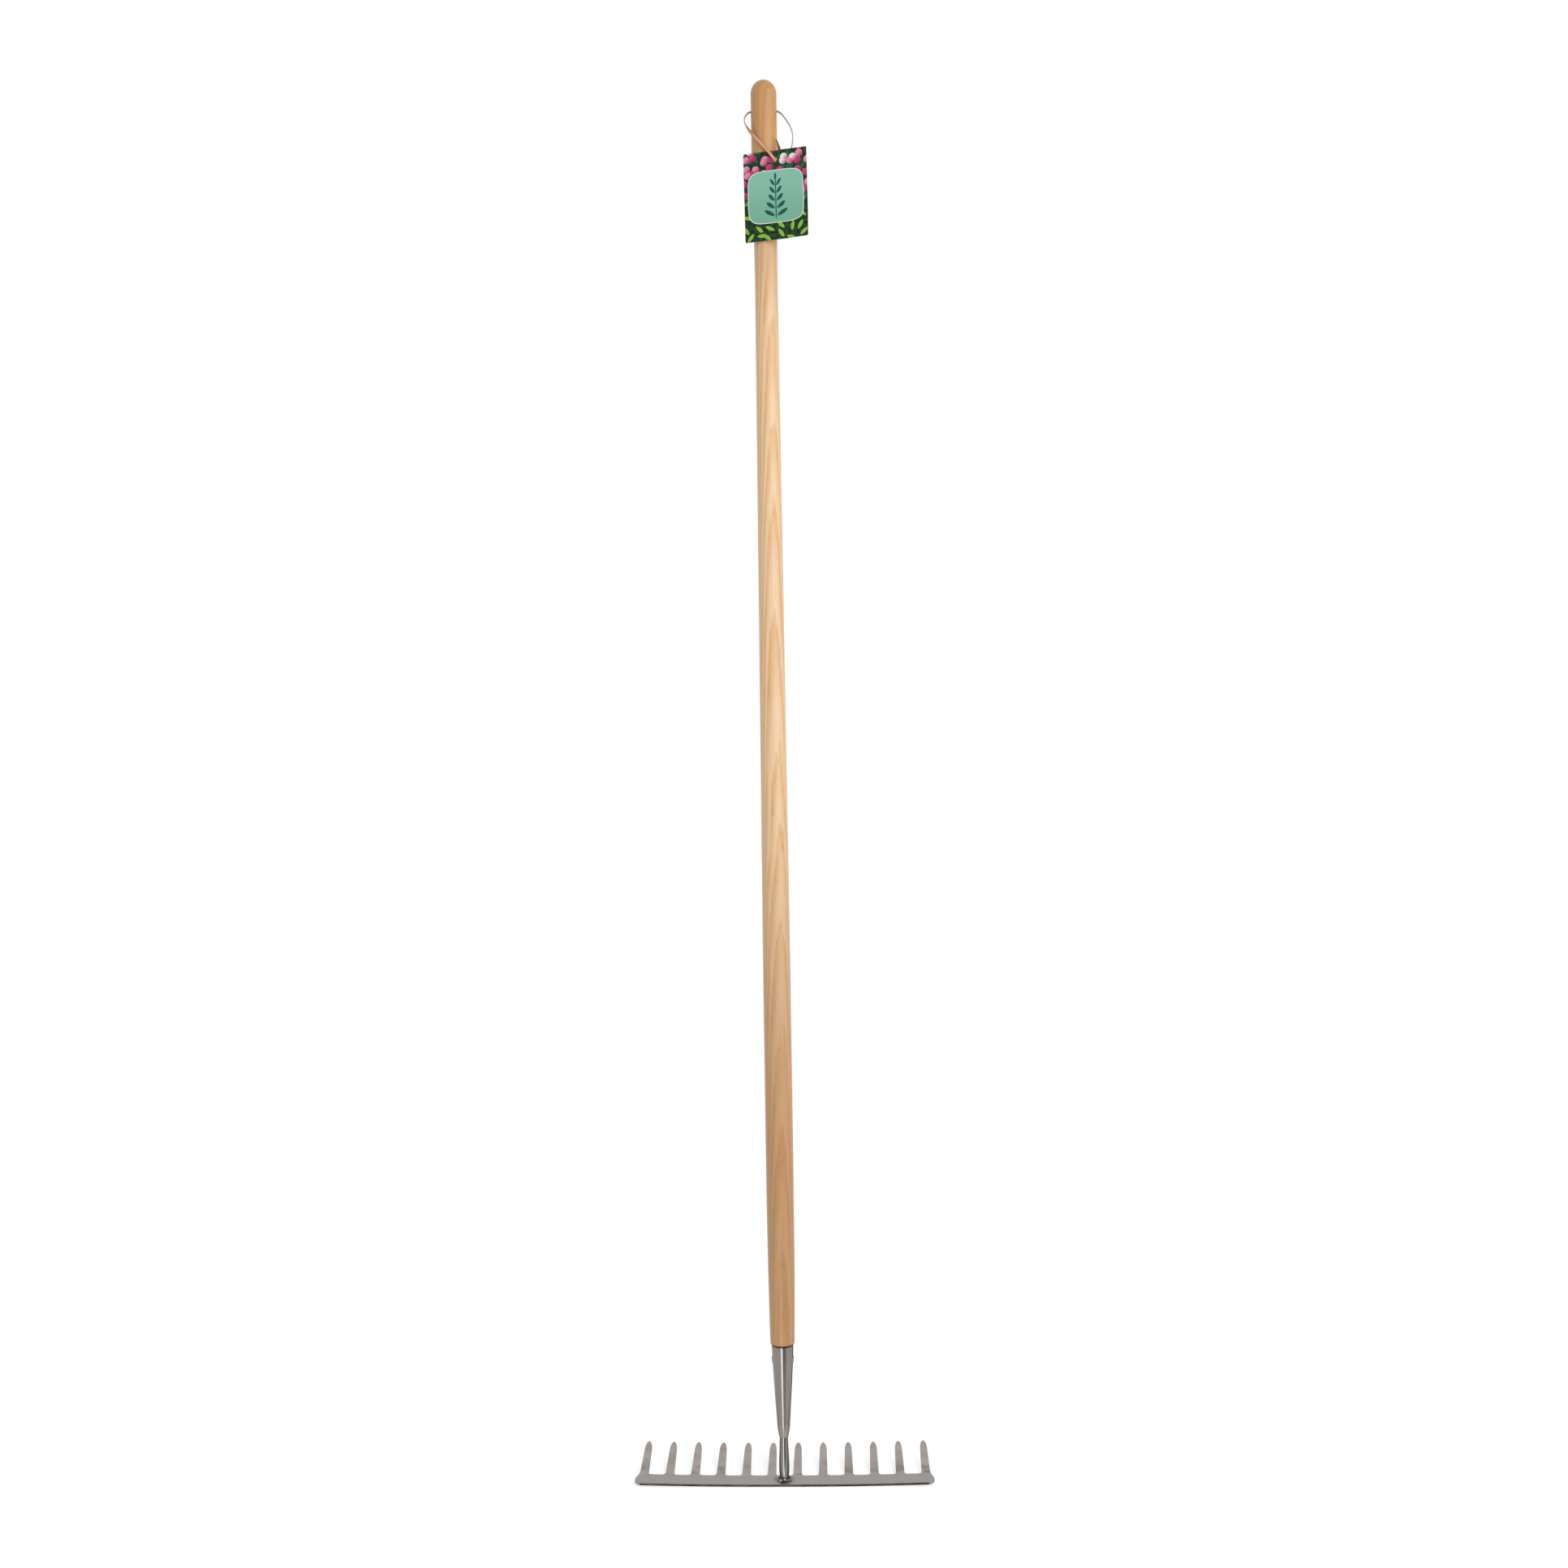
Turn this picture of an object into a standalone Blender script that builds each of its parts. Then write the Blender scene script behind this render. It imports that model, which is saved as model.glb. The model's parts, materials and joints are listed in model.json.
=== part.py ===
"""Border rake: a stamped stainless comb on a round tang, a tapered socket and a turned ash shaft.

From the ground up: the comb head, its tang and weld, the swaged socket with one cross rivet, the long
shaft, and a leather hanging lace that carries a card swing tag.
Metres. +Z runs up the shaft, the teeth point to +Y and the tag hangs on the -Y side. The origin is on the
shaft's axis, at the underside of the head.
"""
import math

import bmesh
import bpy
from mathutils import Vector

# Air left between pieces that touch
SEAT_GAP = 0.0003

# Comb head, stamped from one sheet
PLATE_THICKNESS = 0.003
PLATE_EDGE_EASE = 0.0005
BAR_FRONT = 0.014
BAR_BACK = 0.011
BAR_CORNER_RADIUS = 0.009
BAR_END_OVERHANG = 0.0037
BAR_END_FLARE_RADIUS = 0.055
HEAD_BOW = 0.0022
TOOTH_COUNT = 12
TOOTH_PITCH = 0.0307
TOOTH_LENGTH = 0.063
TOOTH_ROOT_WIDTH = 0.0106
TOOTH_END_WIDTH = 0.0088
TOOTH_TIP_LENGTH = 0.015
TOOTH_LEAN = math.radians(14.0)
TOOTH_BEND_RADIUS = 0.025
GULLET_RADIUS = 0.004

# Tang: round bar from the head up into the socket's neck
TANG_EXPOSED_LENGTH = 0.052
TANG_INSERT_LENGTH = 0.018
TANG_FOOT_DIAMETER = 0.0106
TANG_BELLY_DIAMETER = 0.0121
TANG_BELLY_HEIGHT = 0.013
TANG_NECK_DIAMETER = 0.0100
TANG_EDGE_EASE = 0.0008

# Fillet weld round the tang's foot
WELD_LEG = 0.0020
WELD_HEIGHT = 0.0028
WELD_HOLLOW = 1.5

# Socket: tapered tube, swaged down to the tang at its neck
SOCKET_LENGTH = 0.1094
SOCKET_RIM_DIAMETER = 0.0262
SOCKET_WALL = 0.0015
SOCKET_NECK_LENGTH = 0.012
SOCKET_NECK_DIAMETER = 0.0153
SOCKET_LIP_WALL = 0.0005
SOCKET_RIM_SLOPE = 0.030
SOCKET_NECK_SLOPE = 0.062
SOCKET_LIP_SLOPE = 0.150

# Cross rivet through socket and shaft
RIVET_DROP = 0.0184
RIVET_SHANK_DIAMETER = 0.005
RIVET_HEAD_DIAMETER = 0.0095
RIVET_HEAD_HEIGHT = 0.0006

# Shaft, turned from ash
SHAFT_VISIBLE_LENGTH = 1.5017
SHAFT_TAIL_CLEARANCE = 0.012
SHOULDER_DIAMETER = 0.0288
SHOULDER_ROUND = 0.0015
BELLY_DIAMETER = 0.0327
BELLY_LOW = 0.250
BELLY_HIGH = 0.440
BELLY_EASE = 2.5
WAIST_DIAMETER = 0.0271
WAIST_DROP = 0.242
GRIP_DIAMETER = 0.0309
GRIP_LENGTH = 0.060
DOME_HEIGHT = 0.0165
LACE_HOLE_DROP = 0.03645
LACE_HOLE_DIAMETER = 0.0045

# Leather lace, its knot and its two tails
LACE_DIAMETER = 0.0026
LACE_STEP = 0.0045
KNOT_DIAMETER = 0.009
KNOT_WAIST = 0.15
KNOT_PINCH = 0.35

# Card swing tag
TAG_WIDTH = 0.0768
TAG_HEIGHT = 0.105
TAG_THICKNESS = 0.0005
TAG_CORNER_RADIUS = 0.0015
TAG_HOLE_DIAMETER = 0.006
TAG_HOLE_DROP = 0.0111
TAG_HANG_DROP = 0.0652
TAG_SIDE_OFFSET = 0.01685
TAG_YAW = math.radians(13.0)
TAG_ROLL = math.radians(0.75)

# Facets round a turned piece, steps along a curve and how close points are merged
SHAFT_SEGMENTS = 32
TANG_SEGMENTS = 24
RIVET_SEGMENTS = 16
HOLE_SEGMENTS = 16
CORNER_STEPS = 8
SMALL_STEPS = 4
TIP_STEPS = 10
TAPER_STEPS = 12
ROUTE_STEPS = 16
MERGE_DISTANCE = 1e-6

# Heights that follow from the sizes above
LIP_HEIGHT = PLATE_THICKNESS + TANG_EXPOSED_LENGTH
NECK_HEIGHT = LIP_HEIGHT + SOCKET_NECK_LENGTH
RIM_HEIGHT = LIP_HEIGHT + SOCKET_LENGTH
RIVET_HEIGHT = RIM_HEIGHT - RIVET_DROP
TANG_BASE = PLATE_THICKNESS + SEAT_GAP
TANG_TOP = LIP_HEIGHT + TANG_INSERT_LENGTH
SHAFT_TOP = RIM_HEIGHT + SHAFT_VISIBLE_LENGTH
LACE_HOLE_HEIGHT = SHAFT_TOP - LACE_HOLE_DROP
LACE_HEIGHT = LACE_HOLE_HEIGHT - (LACE_HOLE_DIAMETER - LACE_DIAMETER) / 2 + SEAT_GAP

# The lace's route from the knot, through the tag, up across the shaft's front, through the hole and down
# again on the right to the knot: metres from the middle of the hole
LACE_ROUTE = (
    (0.0141, -0.0181, -0.0663),
    (0.0128, -0.0194, -0.0652),
    (0.0107, -0.0207, -0.0627),
    (0.0086, -0.0208, -0.0600),
    (0.0044, -0.0198, -0.0545),
    (-0.0021, -0.0183, -0.0463),
    (-0.0088, -0.0168, -0.0381),
    (-0.0148, -0.0154, -0.0310),
    (-0.0184, -0.0126, -0.0252),
    (-0.0212, -0.0090, -0.0195),
    (-0.0229, -0.0050, -0.0131),
    (-0.0228, -0.0022, -0.0079),
    (-0.0210, -0.0006, -0.0036),
    (-0.0178, 0.0, -0.0007),
    (-0.0140, 0.0, 0.0),
    (0.0, 0.0, 0.0),
    (0.0140, 0.0, 0.0),
    (0.0177, 0.0, -0.0006),
    (0.0208, -0.0008, -0.0034),
    (0.0243, -0.0020, -0.0081),
    (0.0279, -0.0030, -0.0136),
    (0.0313, -0.0047, -0.0204),
    (0.0334, -0.0062, -0.0269),
    (0.0343, -0.0084, -0.0341),
    (0.0337, -0.0106, -0.0422),
    (0.0318, -0.0125, -0.0511),
    (0.0275, -0.0145, -0.0605),
    (0.0210, -0.0149, -0.0659),
)
KNOT_PLACE = (0.0173, -0.0151, -0.0690)
UPPER_TAIL_ROUTE = (
    (0.0182, -0.0144, -0.0643),
    (0.0185, -0.0137, -0.0580),
    (0.0180, -0.0125, -0.0500),
    (0.0172, -0.0114, -0.0435),
    (0.0157, -0.0103, -0.0367),
)
LOWER_TAIL_ROUTE = (
    (0.0175, -0.0146, -0.0738),
    (0.0180, -0.0142, -0.0820),
    (0.0192, -0.0146, -0.0920),
    (0.0200, -0.0154, -0.1000),
)


def clear_scene():
    """Removes whatever the file opened with."""
    for obj in list(bpy.data.objects):
        bpy.data.objects.remove(obj, do_unlink=True)


def make_material(name, colour, roughness, metallic=0.0):
    """A Principled material with one colour."""
    material = bpy.data.materials.new(name)
    material.use_nodes = True
    shader = material.node_tree.nodes["Principled BSDF"]
    shader.inputs["Base Color"].default_value = (*colour, 1.0)
    shader.inputs["Roughness"].default_value = roughness
    shader.inputs["Metallic"].default_value = metallic
    return material


def add_object(name, data, material=None, parent=None):
    """Links mesh or curve data as a named object under an optional pivot."""
    obj = bpy.data.objects.new(name, data)
    bpy.context.scene.collection.objects.link(obj)
    if material:
        data.materials.append(material)
    obj.parent = parent
    return obj


def add_pivot(name, place, parent=None):
    """An empty on a joint's axis."""
    pivot = add_object(name, None, parent=parent)
    pivot.empty_display_size = 0.02
    pivot.location = place
    return pivot


def finish_mesh(bm, name, smooth_angle=math.radians(35.0)):
    """Turns a bmesh into a mesh, faces outwards, round stretches smooth."""
    bmesh.ops.recalc_face_normals(bm, faces=bm.faces)
    if bm.calc_volume(signed=True) < 0:
        bmesh.ops.reverse_faces(bm, faces=bm.faces)
    mesh = bpy.data.meshes.new(name)
    bm.to_mesh(mesh)
    bm.free()
    mesh.shade_smooth()
    mesh.set_sharp_from_angle(angle=smooth_angle)
    return mesh


def turned(profile, segments, closed=False):
    """Spins (radius, height) points round the Z axis; a closed profile makes a ring."""
    bm = bmesh.new()
    verts = [bm.verts.new((radius, 0.0, height)) for radius, height in profile]
    for first, second in zip(verts, verts[1:]):
        bm.edges.new((first, second))
    if closed:
        bm.edges.new((verts[-1], verts[0]))
    bmesh.ops.spin(
        bm, geom=bm.verts[:] + bm.edges[:], cent=(0, 0, 0), axis=(0, 0, 1),
        angle=2 * math.pi, steps=segments, use_merge=True,
    )
    bmesh.ops.remove_doubles(bm, verts=bm.verts, dist=MERGE_DISTANCE)
    return bm


def cross_hole(target, name, height, diameter, length):
    """Cuts a round hole along X through a piece."""
    bm = bmesh.new()
    bmesh.ops.create_cone(
        bm, cap_ends=True, segments=HOLE_SEGMENTS, radius1=diameter / 2, radius2=diameter / 2, depth=length,
    )
    cutter = add_object(name, finish_mesh(bm, name))
    cutter.location = (0, 0, height)
    cutter.rotation_euler = (0, math.pi / 2, 0)
    subtract(target, cutter)


def subtract(target, cutter):
    """Hides a cutter and takes it away from a piece."""
    cutter.hide_render = True
    cutter.display_type = "WIRE"
    modifier = target.modifiers.new(cutter.name, "BOOLEAN")
    modifier.operation = "DIFFERENCE"
    modifier.solver = "EXACT"
    modifier.object = cutter


def arc(centre, radius, start, end, steps):
    """Points on an arc, both ends included."""
    angles = spaced(start, end, steps)
    return [(centre[0] + radius * math.cos(a), centre[1] + radius * math.sin(a)) for a in angles]


def spaced(start, end, steps):
    """Even steps from start to end, both included."""
    return [start + (end - start) * i / steps for i in range(steps + 1)]


def ease(u):
    """Smooth step from 0 to 1 with level ends."""
    return u * u * (3 - 2 * u)


def hermite(start, end, start_slope, end_slope, u):
    """Cubic between two values with set end slopes, the slopes counted over the whole step."""
    rise = start_slope * (u**3 - 2 * u**2 + u) + end_slope * (u**3 - u**2)
    return start + (end - start) * ease(u) + rise


def tooth_half_width(along):
    """Half a tooth's width at a distance above the gullet line, below its rounded tip."""
    share = along / (TOOTH_LENGTH - TOOTH_TIP_LENGTH)
    return (TOOTH_ROOT_WIDTH + (TOOTH_END_WIDTH - TOOTH_ROOT_WIDTH) * share) / 2


def head_outline():
    """The flat comb seen from above, anticlockwise from the front right corner."""
    outer_tooth = TOOTH_PITCH * (TOOTH_COUNT - 1) / 2
    tooth_edge = outer_tooth + TOOTH_ROOT_WIDTH / 2
    turn = BAR_END_FLARE_RADIUS + BAR_CORNER_RADIUS
    swing = math.acos(1 - BAR_END_OVERHANG / turn)
    corner = (tooth_edge + BAR_END_OVERHANG - BAR_CORNER_RADIUS, BAR_CORNER_RADIUS - BAR_FRONT)
    flare = (tooth_edge + BAR_END_FLARE_RADIUS, corner[1] + turn * math.sin(swing))
    end = arc(corner, BAR_CORNER_RADIUS, -math.pi / 2, swing, CORNER_STEPS)
    end += arc(flare, BAR_END_FLARE_RADIUS, math.pi + swing, math.pi, SMALL_STEPS)[1:]

    fillet = tooth_half_width(GULLET_RADIUS) + GULLET_RADIUS
    tip_start = BAR_BACK + TOOTH_LENGTH - TOOTH_TIP_LENGTH
    teeth = []
    for i in range(TOOTH_COUNT):
        middle = outer_tooth - i * TOOTH_PITCH
        if i > 0:
            gullet = (middle + fillet, BAR_BACK + GULLET_RADIUS)
            teeth += arc(gullet, GULLET_RADIUS, -math.pi / 2, -math.pi, SMALL_STEPS)
        tip = arc((0.0, 0.0), 1.0, 0.0, math.pi, TIP_STEPS)
        teeth += [(middle + TOOTH_END_WIDTH / 2 * x, tip_start + TOOTH_TIP_LENGTH * y) for x, y in tip]
        if i < TOOTH_COUNT - 1:
            gullet = (middle - fillet, BAR_BACK + GULLET_RADIUS)
            teeth += arc(gullet, GULLET_RADIUS, 0.0, -math.pi / 2, SMALL_STEPS)
    mirrored_end = [(-x, y) for x, y in reversed(end)]
    return end + teeth + mirrored_end


def bend_tooth(point):
    """Rolls what lies behind the bend line upwards, about an axis along X."""
    bend_line = BAR_BACK + GULLET_RADIUS
    along = point.y - bend_line
    if along <= 0:
        return point
    turn = min(along / TOOTH_BEND_RADIUS, TOOTH_LEAN)
    straight = along - turn * TOOTH_BEND_RADIUS
    middle = PLATE_THICKNESS / 2
    radius = TOOTH_BEND_RADIUS + middle - point.z
    y = bend_line + radius * math.sin(turn) + straight * math.cos(turn)
    z = middle + TOOTH_BEND_RADIUS - radius * math.cos(turn) + straight * math.sin(turn)
    return Vector((point.x, y, z))


def bow_lift(x):
    """How far the bar's ends rise above its flat middle."""
    flat = TOOTH_PITCH / 2
    half = TOOTH_PITCH * (TOOTH_COUNT - 1) / 2
    return HEAD_BOW * (max(abs(x) - flat, 0.0) / (half - flat)) ** 2


def make_rake_head(steel):
    """The comb: outline cut from sheet, edges eased, teeth bent up, bar bowed."""
    bm = bmesh.new()
    face = bm.faces.new([bm.verts.new((x, y, 0.0)) for x, y in head_outline()])
    rise = bmesh.ops.extrude_face_region(bm, geom=[face])["geom"]
    raised = [item for item in rise if isinstance(item, bmesh.types.BMVert)]
    bmesh.ops.translate(bm, verts=raised, vec=(0, 0, PLATE_THICKNESS))
    bmesh.ops.recalc_face_normals(bm, faces=bm.faces)
    rims = [e for e in bm.edges if e.verts[0].co.z == e.verts[1].co.z]
    bmesh.ops.bevel(
        bm, geom=rims, offset=PLATE_EDGE_EASE, segments=1, profile=0.5, affect="EDGES", material=-1,
    )
    half_steps = range(1 - TOOTH_COUNT, TOOTH_COUNT)
    bow_lines = [Vector((TOOTH_PITCH / 2 * i, 0, 0)) for i in half_steps if i != 0]
    bend_start = BAR_BACK + GULLET_RADIUS
    bend_length = TOOTH_LEAN * TOOTH_BEND_RADIUS
    bend_lines = [Vector((0, bend_start + bend_length * i / 2, 0)) for i in range(3)]
    for place in bow_lines + bend_lines:
        bmesh.ops.bisect_plane(
            bm, geom=bm.verts[:] + bm.edges[:] + bm.faces[:], dist=MERGE_DISTANCE, plane_co=place,
            plane_no=(1, 0, 0) if place.x else (0, 1, 0),
        )
    for vert in bm.verts:
        vert.co = bend_tooth(vert.co)
        vert.co.z += bow_lift(vert.co.x)
    add_object("rake_head", finish_mesh(bm, "rake_head"), steel)


def tang_radius(height):
    """Radius of the tang: slim at the neck, fuller low down, drawn in at the foot."""
    above = height - PLATE_THICKNESS
    if above < TANG_BELLY_HEIGHT:
        share = ease(above / TANG_BELLY_HEIGHT)
        return (TANG_FOOT_DIAMETER + (TANG_BELLY_DIAMETER - TANG_FOOT_DIAMETER) * share) / 2
    share = ease(min((above - TANG_BELLY_HEIGHT) / (TANG_EXPOSED_LENGTH - TANG_BELLY_HEIGHT), 1.0))
    return (TANG_BELLY_DIAMETER + (TANG_NECK_DIAMETER - TANG_BELLY_DIAMETER) * share) / 2


def make_tang(steel):
    """Round bar between head and socket."""
    profile = [(0.0, TANG_BASE), (tang_radius(TANG_BASE) - TANG_EDGE_EASE, TANG_BASE)]
    start = TANG_BASE + TANG_EDGE_EASE
    heights = spaced(start, LIP_HEIGHT, TAPER_STEPS)
    profile += [(tang_radius(height), height) for height in heights]
    neck = TANG_NECK_DIAMETER / 2
    profile += [(neck, TANG_TOP - TANG_EDGE_EASE), (neck - TANG_EDGE_EASE, TANG_TOP), (0.0, TANG_TOP)]
    add_object("tang", finish_mesh(turned(profile, TANG_SEGMENTS), "tang"), steel)


def make_head_weld(bead_steel):
    """Bead that joins the tang's foot to the bar, seated on both."""
    base = PLATE_THICKNESS + SEAT_GAP
    top = base + WELD_HEIGHT
    inner = max(tang_radius(base), tang_radius(top)) + SEAT_GAP
    bead = arc((0.0, 0.0), 1.0, 0.0, math.pi / 2, CORNER_STEPS)
    hollow = [(x**WELD_HOLLOW, y**WELD_HOLLOW) for x, y in bead[:-1]]
    profile = [(inner, base)]
    profile += [(inner + WELD_LEG * x, base + WELD_HEIGHT * y) for x, y in hollow]
    profile += [(inner, top)]
    bm = turned(profile, TANG_SEGMENTS, closed=True)
    add_object("head_weld", finish_mesh(bm, "head_weld"), bead_steel)


def socket_bore():
    """Radius of the hole that grips the tang."""
    return TANG_NECK_DIAMETER / 2 + SEAT_GAP


def socket_radius(height):
    """Outside radius of the socket: a cone that eases to the rim and necks in to the lip."""
    neck = SOCKET_NECK_DIAMETER / 2
    if height < NECK_HEIGHT:
        span = SOCKET_NECK_LENGTH
        lip = socket_bore() + SOCKET_LIP_WALL
        slopes = (SOCKET_LIP_SLOPE * span, SOCKET_NECK_SLOPE * span)
        return hermite(lip, neck, *slopes, (height - LIP_HEIGHT) / span)
    span = RIM_HEIGHT - NECK_HEIGHT
    slopes = (SOCKET_NECK_SLOPE * span, SOCKET_RIM_SLOPE * span)
    return hermite(neck, SOCKET_RIM_DIAMETER / 2, *slopes, (height - NECK_HEIGHT) / span)


def socket_inner_radius(height):
    """Inside radius of the socket, never less than the bore."""
    return max(socket_radius(height) - SOCKET_WALL, socket_bore())


def make_socket(steel):
    """Tapered tube, open at both ends, drilled for the rivet."""
    neck = spaced(LIP_HEIGHT, NECK_HEIGHT, CORNER_STEPS)
    cone = spaced(NECK_HEIGHT, RIM_HEIGHT, TAPER_STEPS)
    heights = neck[:-1] + cone
    outside = [(socket_radius(height), height) for height in reversed(heights)]
    inside = [(socket_inner_radius(height), height) for height in heights]
    mesh = finish_mesh(turned(outside + inside, SHAFT_SEGMENTS, closed=True), "socket")
    socket = add_object("socket", mesh, steel)
    bore = RIVET_SHANK_DIAMETER + 2 * SEAT_GAP
    cross_hole(socket, "socket_rivet_hole", RIVET_HEIGHT, bore, 2 * SOCKET_RIM_DIAMETER)


def make_socket_rivet(steel):
    """One rivet across the socket, both heads set down onto its curve."""
    seat = socket_radius(RIVET_HEIGHT) + SEAT_GAP
    dome = arc((0.0, 0.0), 1.0, 0.0, math.pi / 2, SMALL_STEPS)
    half = [(RIVET_SHANK_DIAMETER / 2, seat)]
    half += [(RIVET_HEAD_DIAMETER / 2 * x, seat + RIVET_HEAD_HEIGHT * y) for x, y in dome[:-1]]
    half += [(0.0, seat + RIVET_HEAD_HEIGHT)]
    profile = [(radius, -along) for radius, along in reversed(half)] + half
    bm = turned(profile, RIVET_SEGMENTS)
    for vert in bm.verts:
        along = vert.co.z
        proud = abs(along) - seat
        across = vert.co.y
        height = RIVET_HEIGHT - vert.co.x
        surface = socket_radius(height) + SEAT_GAP
        reach = math.sqrt(surface**2 - across**2) + proud
        vert.co = (math.copysign(reach, along), across, height)
    add_object("socket_rivet", finish_mesh(bm, "socket_rivet"), steel)


def shaft_radius(height):
    """Radius of the shaft between its shoulder and the dome: belly low down, slim waist, fuller grip."""
    above = height - RIM_HEIGHT
    waist = SHAFT_VISIBLE_LENGTH - WAIST_DROP
    grip = SHAFT_VISIBLE_LENGTH - GRIP_LENGTH
    if above < BELLY_LOW:
        drop = (1 - above / BELLY_LOW) ** BELLY_EASE
        return (BELLY_DIAMETER - (BELLY_DIAMETER - SHOULDER_DIAMETER) * drop) / 2
    if above < BELLY_HIGH:
        return BELLY_DIAMETER / 2
    if above < waist:
        share = (above - BELLY_HIGH) / (waist - BELLY_HIGH)
        return (BELLY_DIAMETER + (WAIST_DIAMETER - BELLY_DIAMETER) * share) / 2
    share = ease(min((above - waist) / (grip - waist), 1.0))
    return (WAIST_DIAMETER + (GRIP_DIAMETER - WAIST_DIAMETER) * share) / 2


def make_handle_shaft(ash):
    """Turned shaft: tail inside the socket, shoulder over its rim, domed grip end."""
    tail = TANG_TOP + SHAFT_TAIL_CLEARANCE
    profile = [(0.0, tail)]
    for height in spaced(tail, RIM_HEIGHT, CORNER_STEPS):
        profile.append((socket_inner_radius(height) - SEAT_GAP, height))
    shoulder = RIM_HEIGHT + SEAT_GAP
    corner = (SHOULDER_DIAMETER / 2 - SHOULDER_ROUND, shoulder + SHOULDER_ROUND)
    profile += [(profile[-1][0], shoulder)]
    profile += arc(corner, SHOULDER_ROUND, -math.pi / 2, 0.0, SMALL_STEPS)

    waist = SHAFT_VISIBLE_LENGTH - WAIST_DROP
    grip = SHAFT_VISIBLE_LENGTH - GRIP_LENGTH
    rises = spaced(0.0, BELLY_LOW, CORNER_STEPS)[1:]
    rises += spaced(BELLY_HIGH, waist, SMALL_STEPS)
    rises += spaced(waist, grip, CORNER_STEPS)[1:]
    profile += [(shaft_radius(RIM_HEIGHT + rise), RIM_HEIGHT + rise) for rise in rises]
    dome = arc((0.0, 0.0), 1.0, 0.0, math.pi / 2, CORNER_STEPS)
    dome_base = SHAFT_TOP - DOME_HEIGHT
    profile += [(GRIP_DIAMETER / 2 * x, dome_base + DOME_HEIGHT * y) for x, y in dome[:-1]]
    profile += [(0.0, SHAFT_TOP)]
    shaft = add_object("handle_shaft", finish_mesh(turned(profile, SHAFT_SEGMENTS), "handle_shaft"), ash)
    rivet_bore = RIVET_SHANK_DIAMETER + 2 * SEAT_GAP
    cross_hole(shaft, "shaft_rivet_hole", RIVET_HEIGHT, rivet_bore, 2 * SOCKET_RIM_DIAMETER)
    cross_hole(shaft, "lace_hole", LACE_HOLE_HEIGHT, LACE_HOLE_DIAMETER, 2 * GRIP_DIAMETER)


def smooth_route(points, step):
    """Even points on a smooth curve through a route's own points."""
    knots = [Vector(point) for point in points]
    knots = [2 * knots[0] - knots[1]] + knots + [2 * knots[-1] - knots[-2]]
    dense = [knots[1]]
    for before, start, end, after in zip(knots, knots[1:], knots[2:], knots[3:]):
        for u in spaced(0.0, 1.0, ROUTE_STEPS)[1:]:
            bend = 2 * before - 5 * start + 4 * end - after
            twist = 3 * (start - end) + after - before
            dense.append(start + (end - before) * u / 2 + bend * u**2 / 2 + twist * u**3 / 2)
    runs = [(b - a).length for a, b in zip(dense, dense[1:])]
    count = max(2, round(sum(runs) / step))
    even = [dense[0]]
    walked = 0.0
    for point, run in zip(dense[1:], runs):
        walked += run
        if walked >= sum(runs) * len(even) / count - MERGE_DISTANCE:
            even.append(point)
    return even


def make_cord(name, route, leather, pivot):
    """A round leather tube along a route, closed at both ends."""
    points = smooth_route(route, LACE_STEP)
    curve = bpy.data.curves.new(name, "CURVE")
    curve.dimensions = "3D"
    curve.bevel_depth = LACE_DIAMETER / 2
    curve.bevel_resolution = 2
    curve.use_fill_caps = True
    spline = curve.splines.new("POLY")
    spline.points.add(len(points) - 1)
    for place, point in zip(spline.points, points):
        place.co = (*point, 1.0)
    add_object(name, curve, leather, pivot)


def make_lace(leather, pivot):
    """The loop, its knot behind the tag and the two cut tails."""
    make_cord("lace", LACE_ROUTE, leather, pivot)
    make_cord("lace_tail_upper", UPPER_TAIL_ROUTE, leather, pivot)
    make_cord("lace_tail_lower", LOWER_TAIL_ROUTE, leather, pivot)
    radius = KNOT_DIAMETER / 2
    profile = []
    for x, y in arc((0.0, 0.0), 1.0, -math.pi / 2, math.pi / 2, TIP_STEPS):
        pinch = 1 - KNOT_WAIST * math.exp(-((y / KNOT_PINCH) ** 2))
        profile.append((radius * abs(x) * pinch if abs(y) < 1 else 0.0, radius * y))
    knot = add_object("lace_knot", finish_mesh(turned(profile, RIVET_SEGMENTS), "lace_knot"), leather, pivot)
    knot.location = KNOT_PLACE


def tag_place():
    """Middle of the tag's hole: the card lies flat against the front of the grip."""
    reach = GRIP_DIAMETER / 2 + SEAT_GAP + TAG_THICKNESS / 2
    x = TAG_SIDE_OFFSET * math.cos(TAG_YAW) - reach * math.sin(TAG_YAW)
    y = -TAG_SIDE_OFFSET * math.sin(TAG_YAW) - reach * math.cos(TAG_YAW)
    return Vector((x, y, -TAG_HANG_DROP))


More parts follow.
